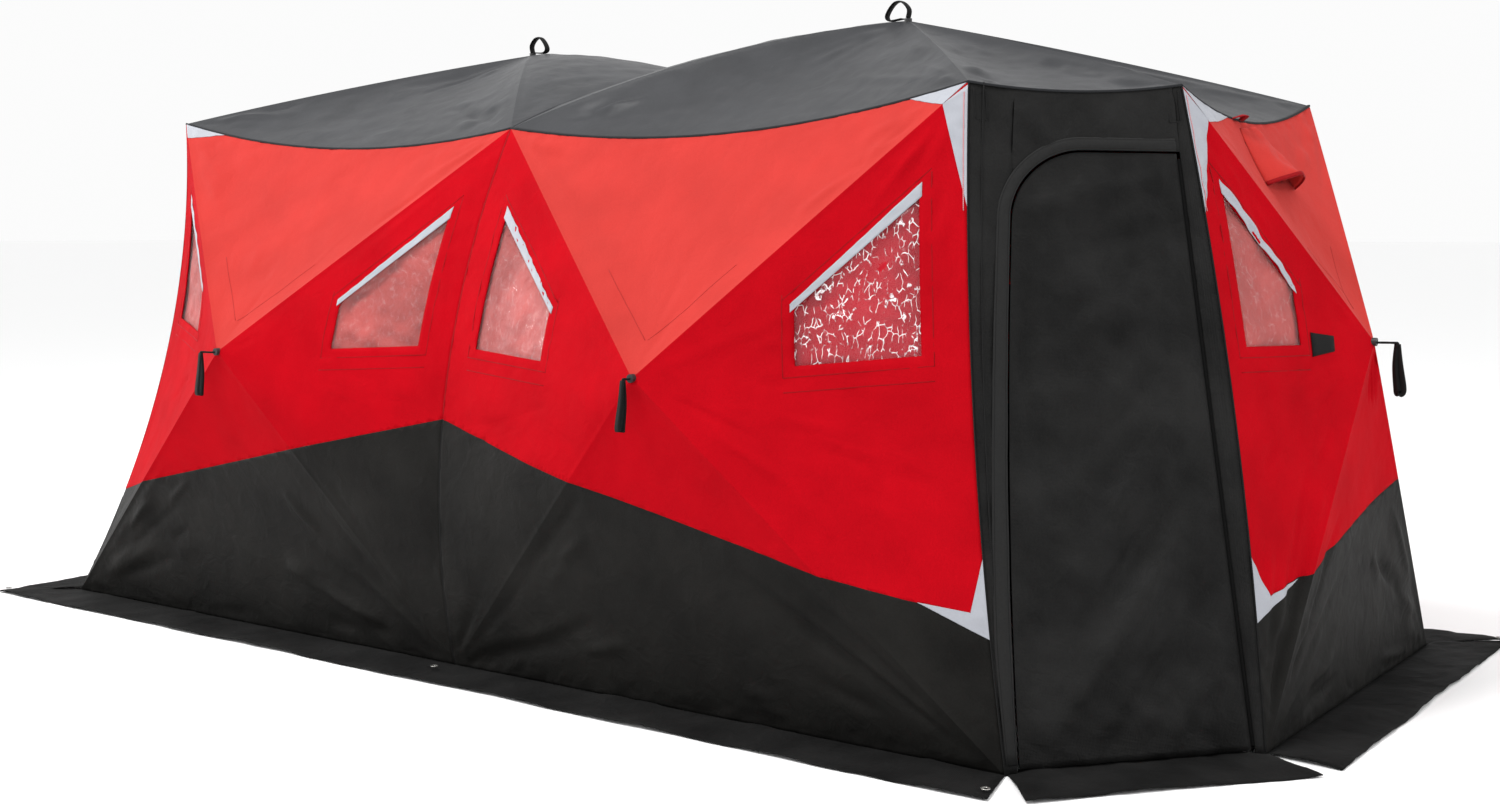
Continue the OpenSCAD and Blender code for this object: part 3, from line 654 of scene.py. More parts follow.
def stitched(name, colour, thread, rows, roughness=0.75):
    """Folded cloth with rows of dashed thread along it."""
    material, shader = new_material(name, Specular_IOR_Level=0.1, Sheen_Weight=0.02,
                                    Roughness=roughness)
    split = add_node(material, "SeparateXYZ", {0: spot_on(material, "UV")}).node.outputs
    off_row = add_math(material, "SUBTRACT", add_math(material, "ABSOLUTE", split["Y"]), rows)
    on_row = add_math(material, "LESS_THAN", add_math(material, "ABSOLUTE", off_row),
                      THREAD_HALF_WIDTH)
    phase = add_math(material, "FRACT", add_math(material, "MULTIPLY", split["X"],
                                                 STITCHES_PER_METRE))
    stitch = add_math(material, "MULTIPLY", on_row,
                      add_math(material, "LESS_THAN", phase, STITCH_SHARE))
    noise = add_node(material, "TexNoise", {"Vector": spot_on(material, "Object"), "Scale": 150})
    base = add_node(material, "MixRGB", {
        "Fac": stitch, "Color2": (*thread, 1),
        "Color1": add_ramp(material, noise, *tones(colour, 0.75, 1.2))})
    normal = add_bump(material, add_math(material, "ADD", stitch, noise), 0.4, 0.001)
    put(material, shader, {"Base Color": base, "Normal": normal})
    return material


THREAD_HALF_WIDTH, STITCHES_PER_METRE, STITCH_SHARE = 0.0009, 190.0, 0.68
seam_red = stitched("red_seam", (0.24, 0.001, 0.004), (0.30, 0.006, 0.008), 0.0015)
# The upper stitch lines take a lighter copy of the red seam cloth and thread: painted light, as on
# the upper canvas.
seam_painted_lit_upper = stitched("upper_seam_painted_lit", (0.33, 0.018, 0.015), (0.40, 0.03, 0.025), 0.0015)
seam_black = stitched("black_seam", (0.007, 0.007, 0.007), (0.02, 0.02, 0.02), 0.002)
hem_grey = stitched("roof_hem", (0.02, 0.021, 0.023), (0.012, 0.012, 0.012), 0.004)


def band_height(band, points):
    point, normal = band
    return (points - point) @ normal


t = np.linspace(0, 1, 60)
red_lines, black_lines = [], []
seam_edges = [((top_mid, foot_mid, mid_bow), band_2, np.array([0, -1.0, 0])),
              ((top_left, foot_left, left_bow), band_1, unit(np.array([-1.0, -1, 0.1])))]
for line, band, normal in seam_edges:
    points = bowed(line, t)
    above = band_height(band, points) > 0
    red_lines.append((points[above], normal))
    black_lines.append((points[~above], normal))
red_seams = strips("wall_seams_red", red_lines, 0.0045, 0.0012)
black_seams = strips("wall_seams_black", black_lines, 0.0045, 0.0012)
hem_lines = []
for a, b, bow in ((top_left, top_mid, HEM_SAG), (top_mid, top_door, HEM_SAG),
                  (top_door, top_end, DOOR_SAG), (top_end, top_right, HEM_SAG)):
    points = bowed((a, b, bow), t)
    wall_out = unit(np.cross(b - a, UP))
    hem_lines.append((points + 0.001 * UP, unit(wall_out + 0.3 * UP)))
hem = strips("roof_hem", hem_lines, 0.0075, 0.0026)


def stitch_path(panel, s, r, lift=0.0):
    return on_panel(panel, s, r, lift), panel["out"]


stitch_lines, upper_lines = [], []
for bay in (bay_1, bay_2, bay_3):
    # Pocket stitching: a V above the hub, its arms along the poles
    upper = bay["upper"]
    inset = 0.11
    for side in (0, 1):
        r = np.linspace(0.15, 0.42, 16)
        shift = inset / (upper["arc"] * r) * 1.1
        s = np.clip(shift, 0, 0.5) if side == 0 else np.clip(1 - shift, 0.5, 1)
        upper_lines.append(stitch_path(upper, s, r))
    for side in ("left", "right"):
        wall = bay[side]
        grow = 0.034 / wall["reach"]
        near, far = WINDOW_NEAR - grow, WINDOW_FAR + grow
        r = np.linspace(near, far, 20)
        drop = 0.05 / (wall["arc"] * r)
        stitch_lines.append(stitch_path(wall, WINDOW_DROP / r - drop, r))
        stitch_lines.append(stitch_path(wall, WINDOW_FOOT + 0.03 / (wall["arc"] * r), r))
        stitch_lines.append(stitch_path(wall, WINDOW_FOOT + 0.07 / (wall["arc"] * r), r))
        for edge in (near, far):
            top = float(window_top(edge)) - 0.05 / (wall["arc"] * edge)
            foot = WINDOW_FOOT + 0.03 / (wall["arc"] * edge)
            stitch_lines.append(stitch_path(wall, np.linspace(top, foot, 14), np.full(14, edge)))
stitching = strips("panel_stitch_lines", stitch_lines, 0.0026, 0.0008)
upper_stitching = strips("upper_stitch_lines", upper_lines, 0.0026, 0.0008)
for piece, material, slot, other in (
        (red_seams, seam_red, "side_fabric", "wall_seams_red_far"),
        (black_seams, seam_black, "lower_fabric", "wall_seams_black_far"),
        (hem, hem_grey, "roof_fabric", "roof_hem_far"),
        (upper_stitching, seam_painted_lit_upper, "upper_fabric", "upper_stitch_lines_far"),
        (stitching, seam_red, "side_fabric", "panel_stitch_lines_far")):
    both_halves(piece, other, material, slot)

# --- Windows ---------------------------------------------------------------
# Clear vinyl sheets sewn behind cut openings, a red cover flap closed behind
# each one inside, and a woven reflective strip along the upper edge.


def clear_vinyl(name, tint, film, painted_glint_alpha, roughness):
    """Clear sheet: a thin film with painted glints: it turns white and nearly opaque along a
    network of crease lines.
    """
    material, shader = new_material(name, Roughness=roughness, Specular_IOR_Level=0.5,
                                    Coat_Weight=0.3, Coat_Roughness=0.05)
    place = spot_on(material, "Object")
    haze = add_node(material, "TexNoise", {"Vector": place, "Scale": 17, "Detail": 3,
                                           "Distortion": 1.9})
    warp = add_node(material, "TexNoise", {"Vector": place, "Scale": 30, "Detail": 2})
    bent = add_node(material, "VectorMath", {
        0: warp.node.outputs["Color"], 1: (0.02, 0.02, 0.02), 2: place},
        operation="MULTIPLY_ADD")
    long_facets = add_node(material, "Mapping", {"Vector": bent, "Scale": (1, 1, 0.42)})
    facets = add_node(material, "TexVoronoi", {"Vector": long_facets, "Scale": 58},
                      feature="DISTANCE_TO_EDGE").node.outputs["Distance"]
    # Painted glints: lines along the edges of stretched cells, kept where a second noise allows.
    where = add_node(material, "TexNoise", {"Vector": place, "Scale": 45, "Detail": 2})
    lines = add_math(material, "MULTIPLY", add_range(material, facets, 1.0, 0.0, 0.012, 0.05),
                     add_range(material, where, 0.0, 1.0, 0.46, 0.56))
    # Along the painted glint lines the colour goes white and the alpha rises: painted highlights.
    put(material, shader, {
        "Alpha": add_range(material, lines, film, painted_glint_alpha),
        "Base Color": add_ramp(material, lines, tint, (0.95, 0.92, 0.93)),
        "Normal": add_bump(material, haze, 0.5, 0.004)})
    return material


def crinkled(points, seed, height, size):
    """Sharp facets and ridges of stiff clear sheet that was folded up."""
    draw = np.random.default_rng(seed)
    total = np.zeros(points.shape[:-1])
    for _ in range(26):
        heading = unit(draw.normal(size=3)) / (size * draw.uniform(0.35, 2.2))
        phase = points @ heading + draw.uniform(0, 1)
        total += abs((phase % 1) - 0.5) * draw.uniform(0.3, 1) * draw.choice([-1, 1])
    return total * height


def window_sheet(wall, depth, margin, rows, columns, bend):
    """A sheet behind a window's opening, a little larger than it."""
    grow = margin / wall["reach"]
    r = np.linspace(WINDOW_NEAR - grow, WINDOW_FAR + grow, rows)[:, None]
    edge = margin / (wall["arc"] * r)
    top, foot = window_top(r) - edge, WINDOW_FOOT + edge
    share = np.linspace(0, 1, columns)[None, :]
    s = top + (foot - top) * share
    points = on_panel(wall, s, r + np.zeros_like(s), -depth)
    u = (r - WINDOW_NEAR) / (WINDOW_FAR - WINDOW_NEAR)
    free = smooth(np.minimum(np.minimum(u, 1 - u), np.minimum(share, 1 - share)) / 0.08 + 0.15)
    points = push(points, free * bend(points), wall["out"])
    return plain_grid(points, wall["out"], s * wall["arc"] * r, r * wall["reach"])


# The creased sheet carries dense, strong painted glints; the smooth sheet faint ones.
smooth_vinyl = clear_vinyl("clear_vinyl", (0.50, 0.36, 0.36), 0.06, 0.09, 0.3)
creased_vinyl = clear_vinyl("creased_vinyl", (0.45, 0.20, 0.22), 0.08, 0.97, 0.12)
cover_cloth = woven_cloth("window_cover_nylon", (0.37, 0.054, 0.048), weave=0.0018, shade=0.35,
                          roughness=0.55, sheen=0.02, crumple=1.0)
cover_dark = woven_cloth("window_cover_red", (0.42, 0.006, 0.016), weave=0.0018, shade=0.3,
                         roughness=0.5, sheen=0.0, crumple=1.0)


def reflective(name):
    """Silver grey reflective tape: fine ribs and a soft metallic look."""
    return woven_cloth(name, (0.36, 0.372, 0.41), weave=0.002, weave_depth=0.3, shade=0.06,
                       roughness=0.5, sheen=0.02, crumple=0.2, gloss=0.3)


tape = reflective("reflective_tape")
window_groups = {"front": [(bay_1, "left"), (bay_1, "right"), (bay_2, "left"), (bay_2, "right")],
                 "end": [(bay_3, "left"), (bay_3, "right")]}
STRIP_WIDTH = 0.022
strip_grids = []
for group, walls in window_groups.items():
    panes, creased, covers, dark_covers = [], [], [], []
    for index, (bay, side) in enumerate(walls):
        wall = bay[side]
        seed = 500 + index * 7 + len(group)
        strong = bay is bay_2 and side == "right"
        if strong:
            creased.append(window_sheet(wall, 0.0045, 0.012, 90, 90,
                                        lambda p: crinkled(p, 511, 0.0085, 0.075)))
            dark_covers.append(window_sheet(wall, 0.016, 0.02, 36, 36,
                                            lambda p: waves(p, 5, 0.12, 0.003)))
        else:
            panes.append(window_sheet(wall, 0.0045, 0.012, 44, 44,
                                      lambda p: crinkled(p, seed, 0.0016, 0.16)))
            covers.append(window_sheet(
                wall, 0.013, 0.02, 64, 64,
                lambda p: np.minimum(waves(p, seed, 0.13, 0.006)
                                     + crinkled(p, seed + 3, 0.0055, 0.11), 0.0065)))
        r = np.linspace(WINDOW_NEAR - 0.012, WINDOW_FAR + 0.008, 50)[:, None]
        up = np.linspace(0, 1, 7)[None, :]
        s = WINDOW_DROP / r - STRIP_WIDTH * (1.15 * up - 0.1)
        points = on_panel(wall, s, r, 0.0012)
        if bay is bay_3:
            points = push(points, waves(points, 71, 0.09, 0.0035) + 0.003, wall["out"])
        strip_grids.append(plain_grid(points, wall["out"], s, r))
    for label, sheets, cloth, thickness, slot in (
            ("panes", panes, smooth_vinyl, 0.0008, "window_vinyl"),
            ("creased_panes", creased, creased_vinyl, 0.0008, "window_vinyl"),
            ("covers", covers, cover_cloth, 0.0012, "side_fabric"),
            ("red_covers", dark_covers, cover_dark, 0.0012, "side_fabric")):
        if not sheets:
            continue
        near, far = ("front", "back") if group == "front" else ("right_end", "left_end")
        piece = sewn_sheet(near + "_window_" + label, sheets, thickness, sharp=False)
        copy = turned_copy(piece, far + "_window_" + label)
        nodes = ("front_windows", "back_windows") if group == "front" else ("end_windows",) * 2
        for sheet, node in zip((piece, copy), nodes):
            set_out(sheet, cloth, slot, *([node] if label == "panes" else []))
window_strips = sewn_sheet("window_reflective_tape", strip_grids, 0.001, sharp=False)
both_halves(window_strips, "window_reflective_tape_far", tape, "reflective_tape",
            "window_reflective_strips")

# --- Reflective corner patches ----------------------------------------------
# Triangles of the same silver cloth sewn over the corners beside the doors and
# at the plain front corner, edged with a line of pink thread.


def seam_share(panel, band, r, above=0.004):
    """Where the red and black cloths meet, at share r out from the hub."""
    s = np.linspace(0.02, 1, 600)
    flat = panel["hub"] + (bowed(panel["line"], s) - panel["hub"]) * r
    return float(s[np.argmax(band_height(band, flat) < above)])


def patch_grid(panel, corners, lift=0.0016, n=22):
    """A triangle of cloth on a panel, as a grid that closes to its last corner.
    Its sides are straight where the panel is flat."""
    a, b, c = (np.array((s * r, r), float) for s, r in corners)
    u, v = np.meshgrid(np.linspace(0, 1, n), np.linspace(0, 0.985, n), indexing="ij")
    at = a * ((1 - u) * (1 - v))[..., None] + b * (u * (1 - v))[..., None] + c * v[..., None]
    points = on_panel(panel, np.clip(at[..., 0] / at[..., 1], 0, 1), at[..., 1], lift)
    return plain_grid(points, panel["out"], at[..., 0], at[..., 1])


patch_specs = [
    (bay_1["upper"], ((0.002, 1), (0.14, 1), (0, 0.93))),
    (bay_2["upper"], ((0.89, 1), (0.998, 1), (1, 0.925))),
    (bay_2["right"], ((0.004, 1), (0.19, 1), (0, 0.925))),
    (bay_2["right"], ((0.695, 1), (0.811, 1), (0.79, 0.952))),
    (bay_2["right"], ((0.811, 1), (seam_share(bay_2["right"], band_2, 0.8), 0.8), (0.79, 0.952))),
    (bay_3["upper"], ((0.002, 1), (0.33, 1), (0, 0.87))),
    (bay_3["left"], ((0.004, 1), (0.2, 1), (0, 0.87))),
    (bay_3["left"], ((0.71, 1), (0.81, 1), (0.815, 0.9))),
    (bay_3["left"], ((0.81, 1), (seam_share(bay_3["left"], band_3, 0.66), 0.66), (0.815, 0.9))),
]
patches = sewn_sheet("corner_patches", [patch_grid(p, c) for p, c in patch_specs], 0.0009,
                     sharp=False)
both_halves(patches, "corner_patches_far", tape, "reflective_tape", "reflective_patches")
pink_thread = stitched("pink_thread", (0.50, 0.14, 0.16), (0.6, 0.36, 0.37), 0.0)
along = np.linspace(0.01, 0.19, 20)
pink_lines = [stitch_path(bay_2["right"], along, np.full(20, 0.988), 0.002),
              stitch_path(bay_3["left"], along, np.full(20, 0.985), 0.002)]
pink = strips("patch_stitching", pink_lines, 0.003, 0.0008)
both_halves(pink, "patch_stitching_far", pink_thread, "reflective_tape")

# --- Door corner -------------------------------------------------------------
# Coarse black canvas fills the cut-off corner. The surround is one sewn sheet;
# the flap hangs on its seam beside the end wall, under a padded zip cover.
DOOR_TOP, DOOR_ARCH, ARCH_WIDTH = 0.1, 0.1, 0.42
GAP_TOP, GAP_FOOT, HINGE_IN = 0.225, 0.05, 0.034
ZIP_WIDTH, FLAP_GAP, FLAP_FLOOR_GAP, HINGE_RADIUS = 0.075, 0.006, 0.014, 0.005
ARCH_FOOT = DOOR_TOP + DOOR_ARCH
door_out = np.array([DOOR_DIR[1], -DOOR_DIR[0], 0])
door_normal = unit(np.cross(DOOR_DIR, top_door + top_end - foot_door - foot_end))
if door_normal @ door_out < 0:
    door_normal = -door_normal
HINGE_SHARE = 1 - HINGE_IN / np.linalg.norm(top_end - top_door)
DOOR_HEIGHT = float(np.linalg.norm(top_door - foot_door))


def door_hem(u):
    return bowed((top_door, top_end, DOOR_SAG), u)


def long_side(s):
    return bowed((top_door, foot_door, door_bow), s)


def end_side(s):
    return bowed((top_end, foot_end, end_bow), s)


def hinge_line(s):
    s = np.asarray(s, float)[..., None]
    return door_hem(HINGE_SHARE) * (1 - s) + (foot_end - HINGE_IN * DOOR_DIR) * s


def free_line(s):
    s = np.asarray(s, float)
    share = (GAP_TOP + (GAP_FOOT - GAP_TOP) * s)[..., None]
    return long_side(s) * (1 - share) + hinge_line(s) * share


def door_point(s, c):
    c = np.asarray(c, float)[..., None]
    return free_line(s) * (1 - c) + hinge_line(s) * c


def arch_drop(c, grow=0.0):
    """How far down the corner the doorway's top is, across the doorway."""
    share = np.clip((ARCH_WIDTH - np.asarray(c, float)) / (ARCH_WIDTH + grow), 0, 1)
    return ARCH_FOOT - (DOOR_ARCH + grow * 0.3) * np.sqrt(1 - share**2)


def door_grid(s, c):
    return plain_grid(door_point(*np.broadcast_arrays(s, c)), door_out, c * 0.6,
                      s * DOOR_HEIGHT)


door_canvas = woven_cloth("door_canvas", (0.0074, 0.0073, 0.0071), weave=0.0036, gloss=0.12,
                          weave_depth=0.9, shade=0.75, roughness=0.55, sheen=0.01, crumple=1.0)
zip_canvas = stitched("zip_cover_canvas", (0.018, 0.018, 0.0178), (0.003, 0.003, 0.003), 0.016)
seam_width = np.linalg.norm(hinge_line(DOOR_TOP) - free_line(DOOR_TOP))
rim = (HINGE_RADIUS + 0.0003) / seam_width
head_rows = 16
share = np.linspace(0, 1, head_rows)[:, None]
head_c = np.concatenate([ARCH_WIDTH * (1 - np.cos(np.linspace(0, math.pi / 2, 26))),
                         np.linspace(ARCH_WIDTH, 1 + rim, 24)[1:]])[None, :]
head_s = arch_drop(head_c) * share
head = door_grid(head_s, head_c)
chord = door_point(np.zeros(head_c.shape[1]), head_c[0])
sagged = door_hem(GAP_TOP * HINGE_SHARE + (HINGE_SHARE - GAP_TOP * HINGE_SHARE) * head_c[0])
head["points"] += (sagged - chord)[None] * (1 - share[..., None]) ** 2
wrinkles = [(top_end * 0.75 + top_door * 0.25, door_point(0.13, 0.45), 0.006, 0.018),
            (top_end * 0.9 + top_door * 0.1, door_point(0.1, 0.7), -0.006, 0.016),
            (top_end * 0.6 + top_door * 0.4, door_point(0.12, 0.3), 0.005, 0.02),
            (top_door * 0.9 + top_end * 0.1, door_point(0.1, 0.25), 0.005, 0.02)]
inside = smooth(np.minimum(share, 1 - share) / 0.3)
head["points"] = push(head["points"], inside * (
    waves(head["points"], 31, 0.16, 0.004) + creases(head["points"], wrinkles)), door_normal)
strip_s = np.concatenate([(ARCH_FOOT * share)[:, 0], np.linspace(ARCH_FOOT, 1, 76)[1:]])
sag_left = (sagged[0] - chord[0])[None] * np.clip(1 - strip_s / ARCH_FOOT, 0, 1)[:, None] ** 2
inner_edge = free_line(strip_s) + sag_left
across = np.linspace(0, 1, 9)[None, :, None]
left_points = long_side(strip_s)[:, None] * (1 - across) + inner_edge[:, None] * across
ease = smooth(np.minimum(across[..., 0], 1 - across[..., 0]) / 0.3)
left_points = push(left_points, ease * waves(left_points, 33, 0.2, 0.0022), door_normal)
left_strip = plain_grid(left_points, door_out, across[..., 0] * 0.12,
                        strip_s[:, None] * DOOR_HEIGHT)
right_s = np.concatenate([(DOOR_TOP * share)[:, 0], np.linspace(DOOR_TOP, 1, 60)[1:]])
near_hinge = hinge_line(right_s)
near_hinge = near_hinge + (HINGE_RADIUS + 0.0003) * (end_side(right_s) - near_hinge) \
    / np.linalg.norm(end_side(right_s) - near_hinge, axis=1)[:, None]
right_across = np.linspace(0, 1, 4)[None, :, None]
right_points = near_hinge[:, None] * (1 - right_across) + end_side(right_s)[:, None] * right_across
right_strip = plain_grid(right_points, door_out, right_across[..., 0] * 0.03,
                         right_s[:, None] * DOOR_HEIGHT)
surround = sewn_sheet("right_door_surround_cloth", [head, left_strip, right_strip], 0.003,
                      sharp=False)
surround_far = turned_copy(surround, "left_door_surround_cloth")
for piece, node in ((surround, "right_door_surround"), (surround_far, "left_door_surround")):
    set_out(piece, door_canvas, "door_canvas", node)

flap_c = np.concatenate([ARCH_WIDTH * (1 - np.cos(np.linspace(0, math.pi / 2, 24))),
                         np.linspace(ARCH_WIDTH, 1, 28)[1:]])[None, :]
flap_rows = np.linspace(0, 1, 96)[:, None]
flap_top = arch_drop(flap_c) + FLAP_GAP / DOOR_HEIGHT
flap_s = flap_top + (1 - FLAP_FLOOR_GAP / DOOR_HEIGHT - flap_top) * flap_rows
width_here = np.linalg.norm(hinge_line(flap_s) - free_line(flap_s), axis=-1)
flap_c = FLAP_GAP / width_here + (1 - (HINGE_RADIUS + 0.0006) / width_here
                                  - FLAP_GAP / width_here) * flap_c
flap = door_grid(flap_s, flap_c)
drape = [(door_point(*start), door_point(*end), *shape) for start, end, *shape in (
    ((0.13, 0.98), (0.19, 0.1), 0.013, 0.03), ((0.20, 0.98), (0.26, 0.2), -0.012, 0.03),
    ((0.26, 0.95), (0.42, 0.15), 0.014, 0.035), ((0.36, 0.98), (0.60, 0.2), -0.015, 0.035),
    ((0.44, 0.95), (0.74, 0.25), 0.016, 0.032), ((0.54, 0.98), (0.86, 0.2), -0.016, 0.032),
    ((0.62, 0.95), (0.97, 0.1), 0.018, 0.03), ((0.72, 0.98), (0.99, 0.35), -0.015, 0.028),
    ((0.82, 0.95), (0.99, 0.6), 0.014, 0.026), ((0.30, 0.05), (0.70, 0.2), -0.009, 0.025))]
edge_free = smooth(np.minimum((1 - flap_c), flap_c * 1.5) / 0.14) * smooth(flap_rows / 0.06 + 0.2)
flap["points"] = push(flap["points"], edge_free * (
    waves(flap["points"], 37, 0.30, 0.007) + waves(flap["points"], 38, 0.10, 0.004)
    + 1.35 * creases(flap["points"], drape)) - 0.0005, door_normal)
door_flap = sewn_sheet("right_door_flap_cloth", [flap], 0.003, sharp=False)
door_flap_far = turned_copy(door_flap, "left_door_flap_cloth")
for piece, node, body in ((door_flap, "right_door_flap", "door"),
                          (door_flap_far, "left_door_flap", "shelter")):
    set_out(piece, door_canvas, "door_canvas", node, body=body)

# The padded cover over the zip, on the surround round the doorway
band_s = np.linspace(0.985, ARCH_FOOT, 50)
free_gap = GAP_TOP + (GAP_FOOT - GAP_TOP) * band_s
outer_c = -np.minimum(ZIP_WIDTH, 0.85 * free_gap / (1 - free_gap))
angles = np.linspace(0, math.pi / 2, 22)[1:]
grow_s = ZIP_WIDTH * float(seam_width) / DOOR_HEIGHT


def rim_path(side, up, out):
    """The doorway's edge from the floor over its corner, moved up and outwards."""
    return np.concatenate([np.stack([band_s, side], 1),
                           np.stack([ARCH_FOOT - (DOOR_ARCH + up) * np.sin(angles),
                                     ARCH_WIDTH - (ARCH_WIDTH + out) * np.cos(angles)], 1),
                           [[DOOR_TOP - up, c] for c in (0.6, 0.8, 0.985)]])


inner_sc, outer_sc = rim_path(0 * band_s, 0, 0), rim_path(outer_c, grow_s, ZIP_WIDTH)
across = np.linspace(0, 1, 11)[None, :]
band_sc = inner_sc[:, None] * (1 - across[..., None]) + outer_sc[:, None] * across[..., None]
run = np.cumsum(np.r_[0, np.linalg.norm(np.diff(door_point(outer_sc[:, 0], outer_sc[:, 1]),
                                                axis=0), axis=1)])
rise = 0.0012 + 0.0042 * np.sin(math.pi * across) ** 0.5 - 0.0022 * np.exp(
    -(((across - 0.16) / 0.05) ** 2)) - 0.0022 * np.exp(-(((across - 0.84) / 0.05) ** 2))
band_points = door_point(band_sc[..., 0], band_sc[..., 1])
band_points = push(band_points, rise + waves(band_points, 39, 0.12, 0.0012) + np.sin(
    math.pi * across) * waves(band_points, 47, 0.035, 0.0016), door_normal)
zip_band = sewn_sheet("right_door_zip_cover", [
    plain_grid(band_points, door_out, run[:, None], (across - 0.5) * 0.045)], 0.003, sharp=False)
set_out(zip_band, zip_canvas, "zip_cover", "right_door_zip_band")
set_out(turned_copy(zip_band, "left_door_zip_cover"), zip_canvas, "zip_cover",
        "left_door_zip_band")
# Seam lines on the surround: the joins to both walls, one down the left strip and
# reinforcement squares at the top corners
s = np.linspace(0, 1, 70)
seam_paths = [(line + 0.001 * door_normal, door_normal) for line in (
    long_side(s), end_side(s), long_side(s) * 0.67 + free_line(s) * 0.33)]
corner_drop = (foot_door - top_door + foot_end - top_end) / 2
down = np.linspace(0.008, 0.055, 8)[:, None]
for u0, u1 in ((0.02, 0.075), (0.925, 0.98)):
    left, right = (door_hem(u) + corner_drop * down + 0.001 * door_normal for u in (u0, u1))
    seam_paths += [(left, door_normal), (right, door_normal),
                   (np.linspace(left[-1], right[-1], 6), door_normal)]
door_seams = strips("right_door_seams", seam_paths, 0.004, 0.0014)
both_halves(door_seams, "left_door_seams", seam_black, "door_canvas")

# --- Vent hoods --------------------------------------------------------------
# A half cone of red canvas over a cut vent high on each end wall, open below,
# with black insect mesh behind it and a small red tab on the hem above.
end_upper = bay_3["upper"]
j = np.linspace(0, 1, 26)[:, None]
i = np.linspace(0, 1, 41)[None, :]
hood_r = VENT_LOW + (VENT_HIGH - VENT_LOW) * j + 0 * i
hood_s = VENT_MID + VENT_HALF * (1 - 0.55 * j) * (1 - 2 * i)
hood_rise = (0.075 - 0.060 * j) * np.sin(math.pi * i) ** 0.8 + 0.0015
hood_points = push(on_panel(end_upper, hood_s, hood_r), hood_rise, end_upper["out"])
hood_points = push(hood_points, np.sin(math.pi * i) * (
    waves(hood_points, 91, 0.11, 0.004) + waves(hood_points, 92, 0.045, 0.0012)),
    end_upper["out"])
hood = sewn_sheet("right_vent_hood", [
    plain_grid(hood_points, end_upper["out"], hood_s * 2, hood_r)], 0.0025, sharp=False)
mesh_cloth = woven_cloth("insect_mesh", (0.006, 0.006, 0.006), weave=0.004, weave_depth=1.0)
mesh_s = VENT_MID + VENT_HALF * 0.72 * np.linspace(-1, 1, 20)[None, :]
mesh_r = np.linspace(VENT_LOW + 0.03, VENT_HIGH - 0.05, 14)[:, None]
vent_mesh = sewn_sheet("right_vent_mesh", [
    plain_grid(on_panel(end_upper, mesh_s, mesh_r, -0.005), end_upper["out"], mesh_s * 2,
               mesh_r)], 0.001, sharp=False)
rim_line = hood_points[0] + 0.001 * end_upper["out"]
hood_rim = strips("right_vent_rim", [(rim_line, end_upper["out"])], 0.014, 0.004)
tab_start = bowed((top_end, top_right, HEM_SAG), 0.36)
tab_end = bowed((top_end, top_right, HEM_SAG), 0.42)
tab_arc = np.linspace(0, 1, 12)
tab_points = tab_start + (tab_end - tab_start) * tab_arc[:, None] \
    + np.array([0.028, 0, 0.012]) * np.sin(math.pi * tab_arc)[:, None]
vent_tab = strips("right_vent_tab", [(tab_points, np.array([0.2, 0, 1.0]))], 0.022, 0.002)
hood_area, mesh_area = half_area(hood), half_area(vent_mesh)
# The hood takes the upper wall's red copy with its painted light.
for piece, cloth, slot, other, size, node in (
        (hood, red_painted_lit_copy, "upper_fabric", "left_vent_hood", hood_area, "end_vent_hoods"),
        (vent_mesh, mesh_cloth, "lower_fabric", "left_vent_mesh", mesh_area, None),
        (hood_rim, seam_red, "upper_fabric", "left_vent_rim", None, None),
        (vent_tab, seam_red, "upper_fabric", "left_vent_tab", None, None)):
    for sheet in both_halves(piece, other, cloth, slot, *([node] if node else [])):
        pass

# --- Pull straps and loops ----------------------------------------------------
# Black webbing: a doubled strap hangs from a short cord at each wall hub, and
# a loop stands on each roof hub. A square of hook tape sits by the end window.
webbing = woven_cloth("black_webbing", (0.003, 0.003, 0.003), weave=0.0025, weave_depth=0.9,
                      shade=0.4, roughness=0.6, sheen=0.01, gloss=0.15)


def bent_line(knots, count):
    """A smooth line through knots."""
    knots = np.array(knots, float)
    t = np.linspace(0, len(knots) - 1, count)
    result = []
    for value in t:
        k = min(int(value), len(knots) - 2)
        f = value - k
        p0, p1 = knots[max(k - 1, 0)], knots[k]
        p2, p3 = knots[k + 1], knots[min(k + 2, len(knots) - 1)]
        result.append(0.5 * (2 * p1 + (p2 - p0) * f + (2 * p0 - 5 * p1 + 4 * p2 - p3) * f * f
                             + (3 * p1 - p0 - 3 * p2 + p3) * f**3))
    return np.array(result)


STRAP_POINTS = 48
strap_paths, cord_paths = [], []
for hub, axis, lean, sway, turn in ((hub_1, axis_1, 0.009, 0.045, 0.1),
                                    (hub_2, axis_2, 0.010, 0.008, 0.1),
                                    (hub_3, axis_3, 0.045, 0.004, 5.0)):
    out = -axis
    side = unit(np.cross(DOWN, out) + out * turn)
    neck = hub + out * (0.016 + lean) + side * sway + DOWN * 0.004
    foot = neck + DOWN * 0.125 + side * 0.006 + out * 0.004
    loop = bent_line([neck + out * away + DOWN * drop for away, drop in (
        (0.004, 0), (0.011, 0.06))] + [foot + out * away + DOWN * drop for away, drop in (
            (0.011, 0.004), (0, 0.016), (-0.005, 0.002))] + [
        neck - out * 0.003 + DOWN * 0.06, neck - out * 0.001], STRAP_POINTS)
    strap_paths.append((loop, side))
    cord_paths.append((bent_line([hub + out * 0.006, hub + out * 0.012 + side * sway * 0.4,
                                  neck - DOWN * 0.004, neck + DOWN * 0.008], 16), side))
straps = [(line, np.cross(np.gradient(line, axis=0), side)) for line, side in strap_paths]
strap_width = 0.014 + 0.011 * np.sin(np.linspace(0, math.pi, STRAP_POINTS)) ** 1.5
wall_straps = strips("wall_straps", straps, strap_width, 0.0024)
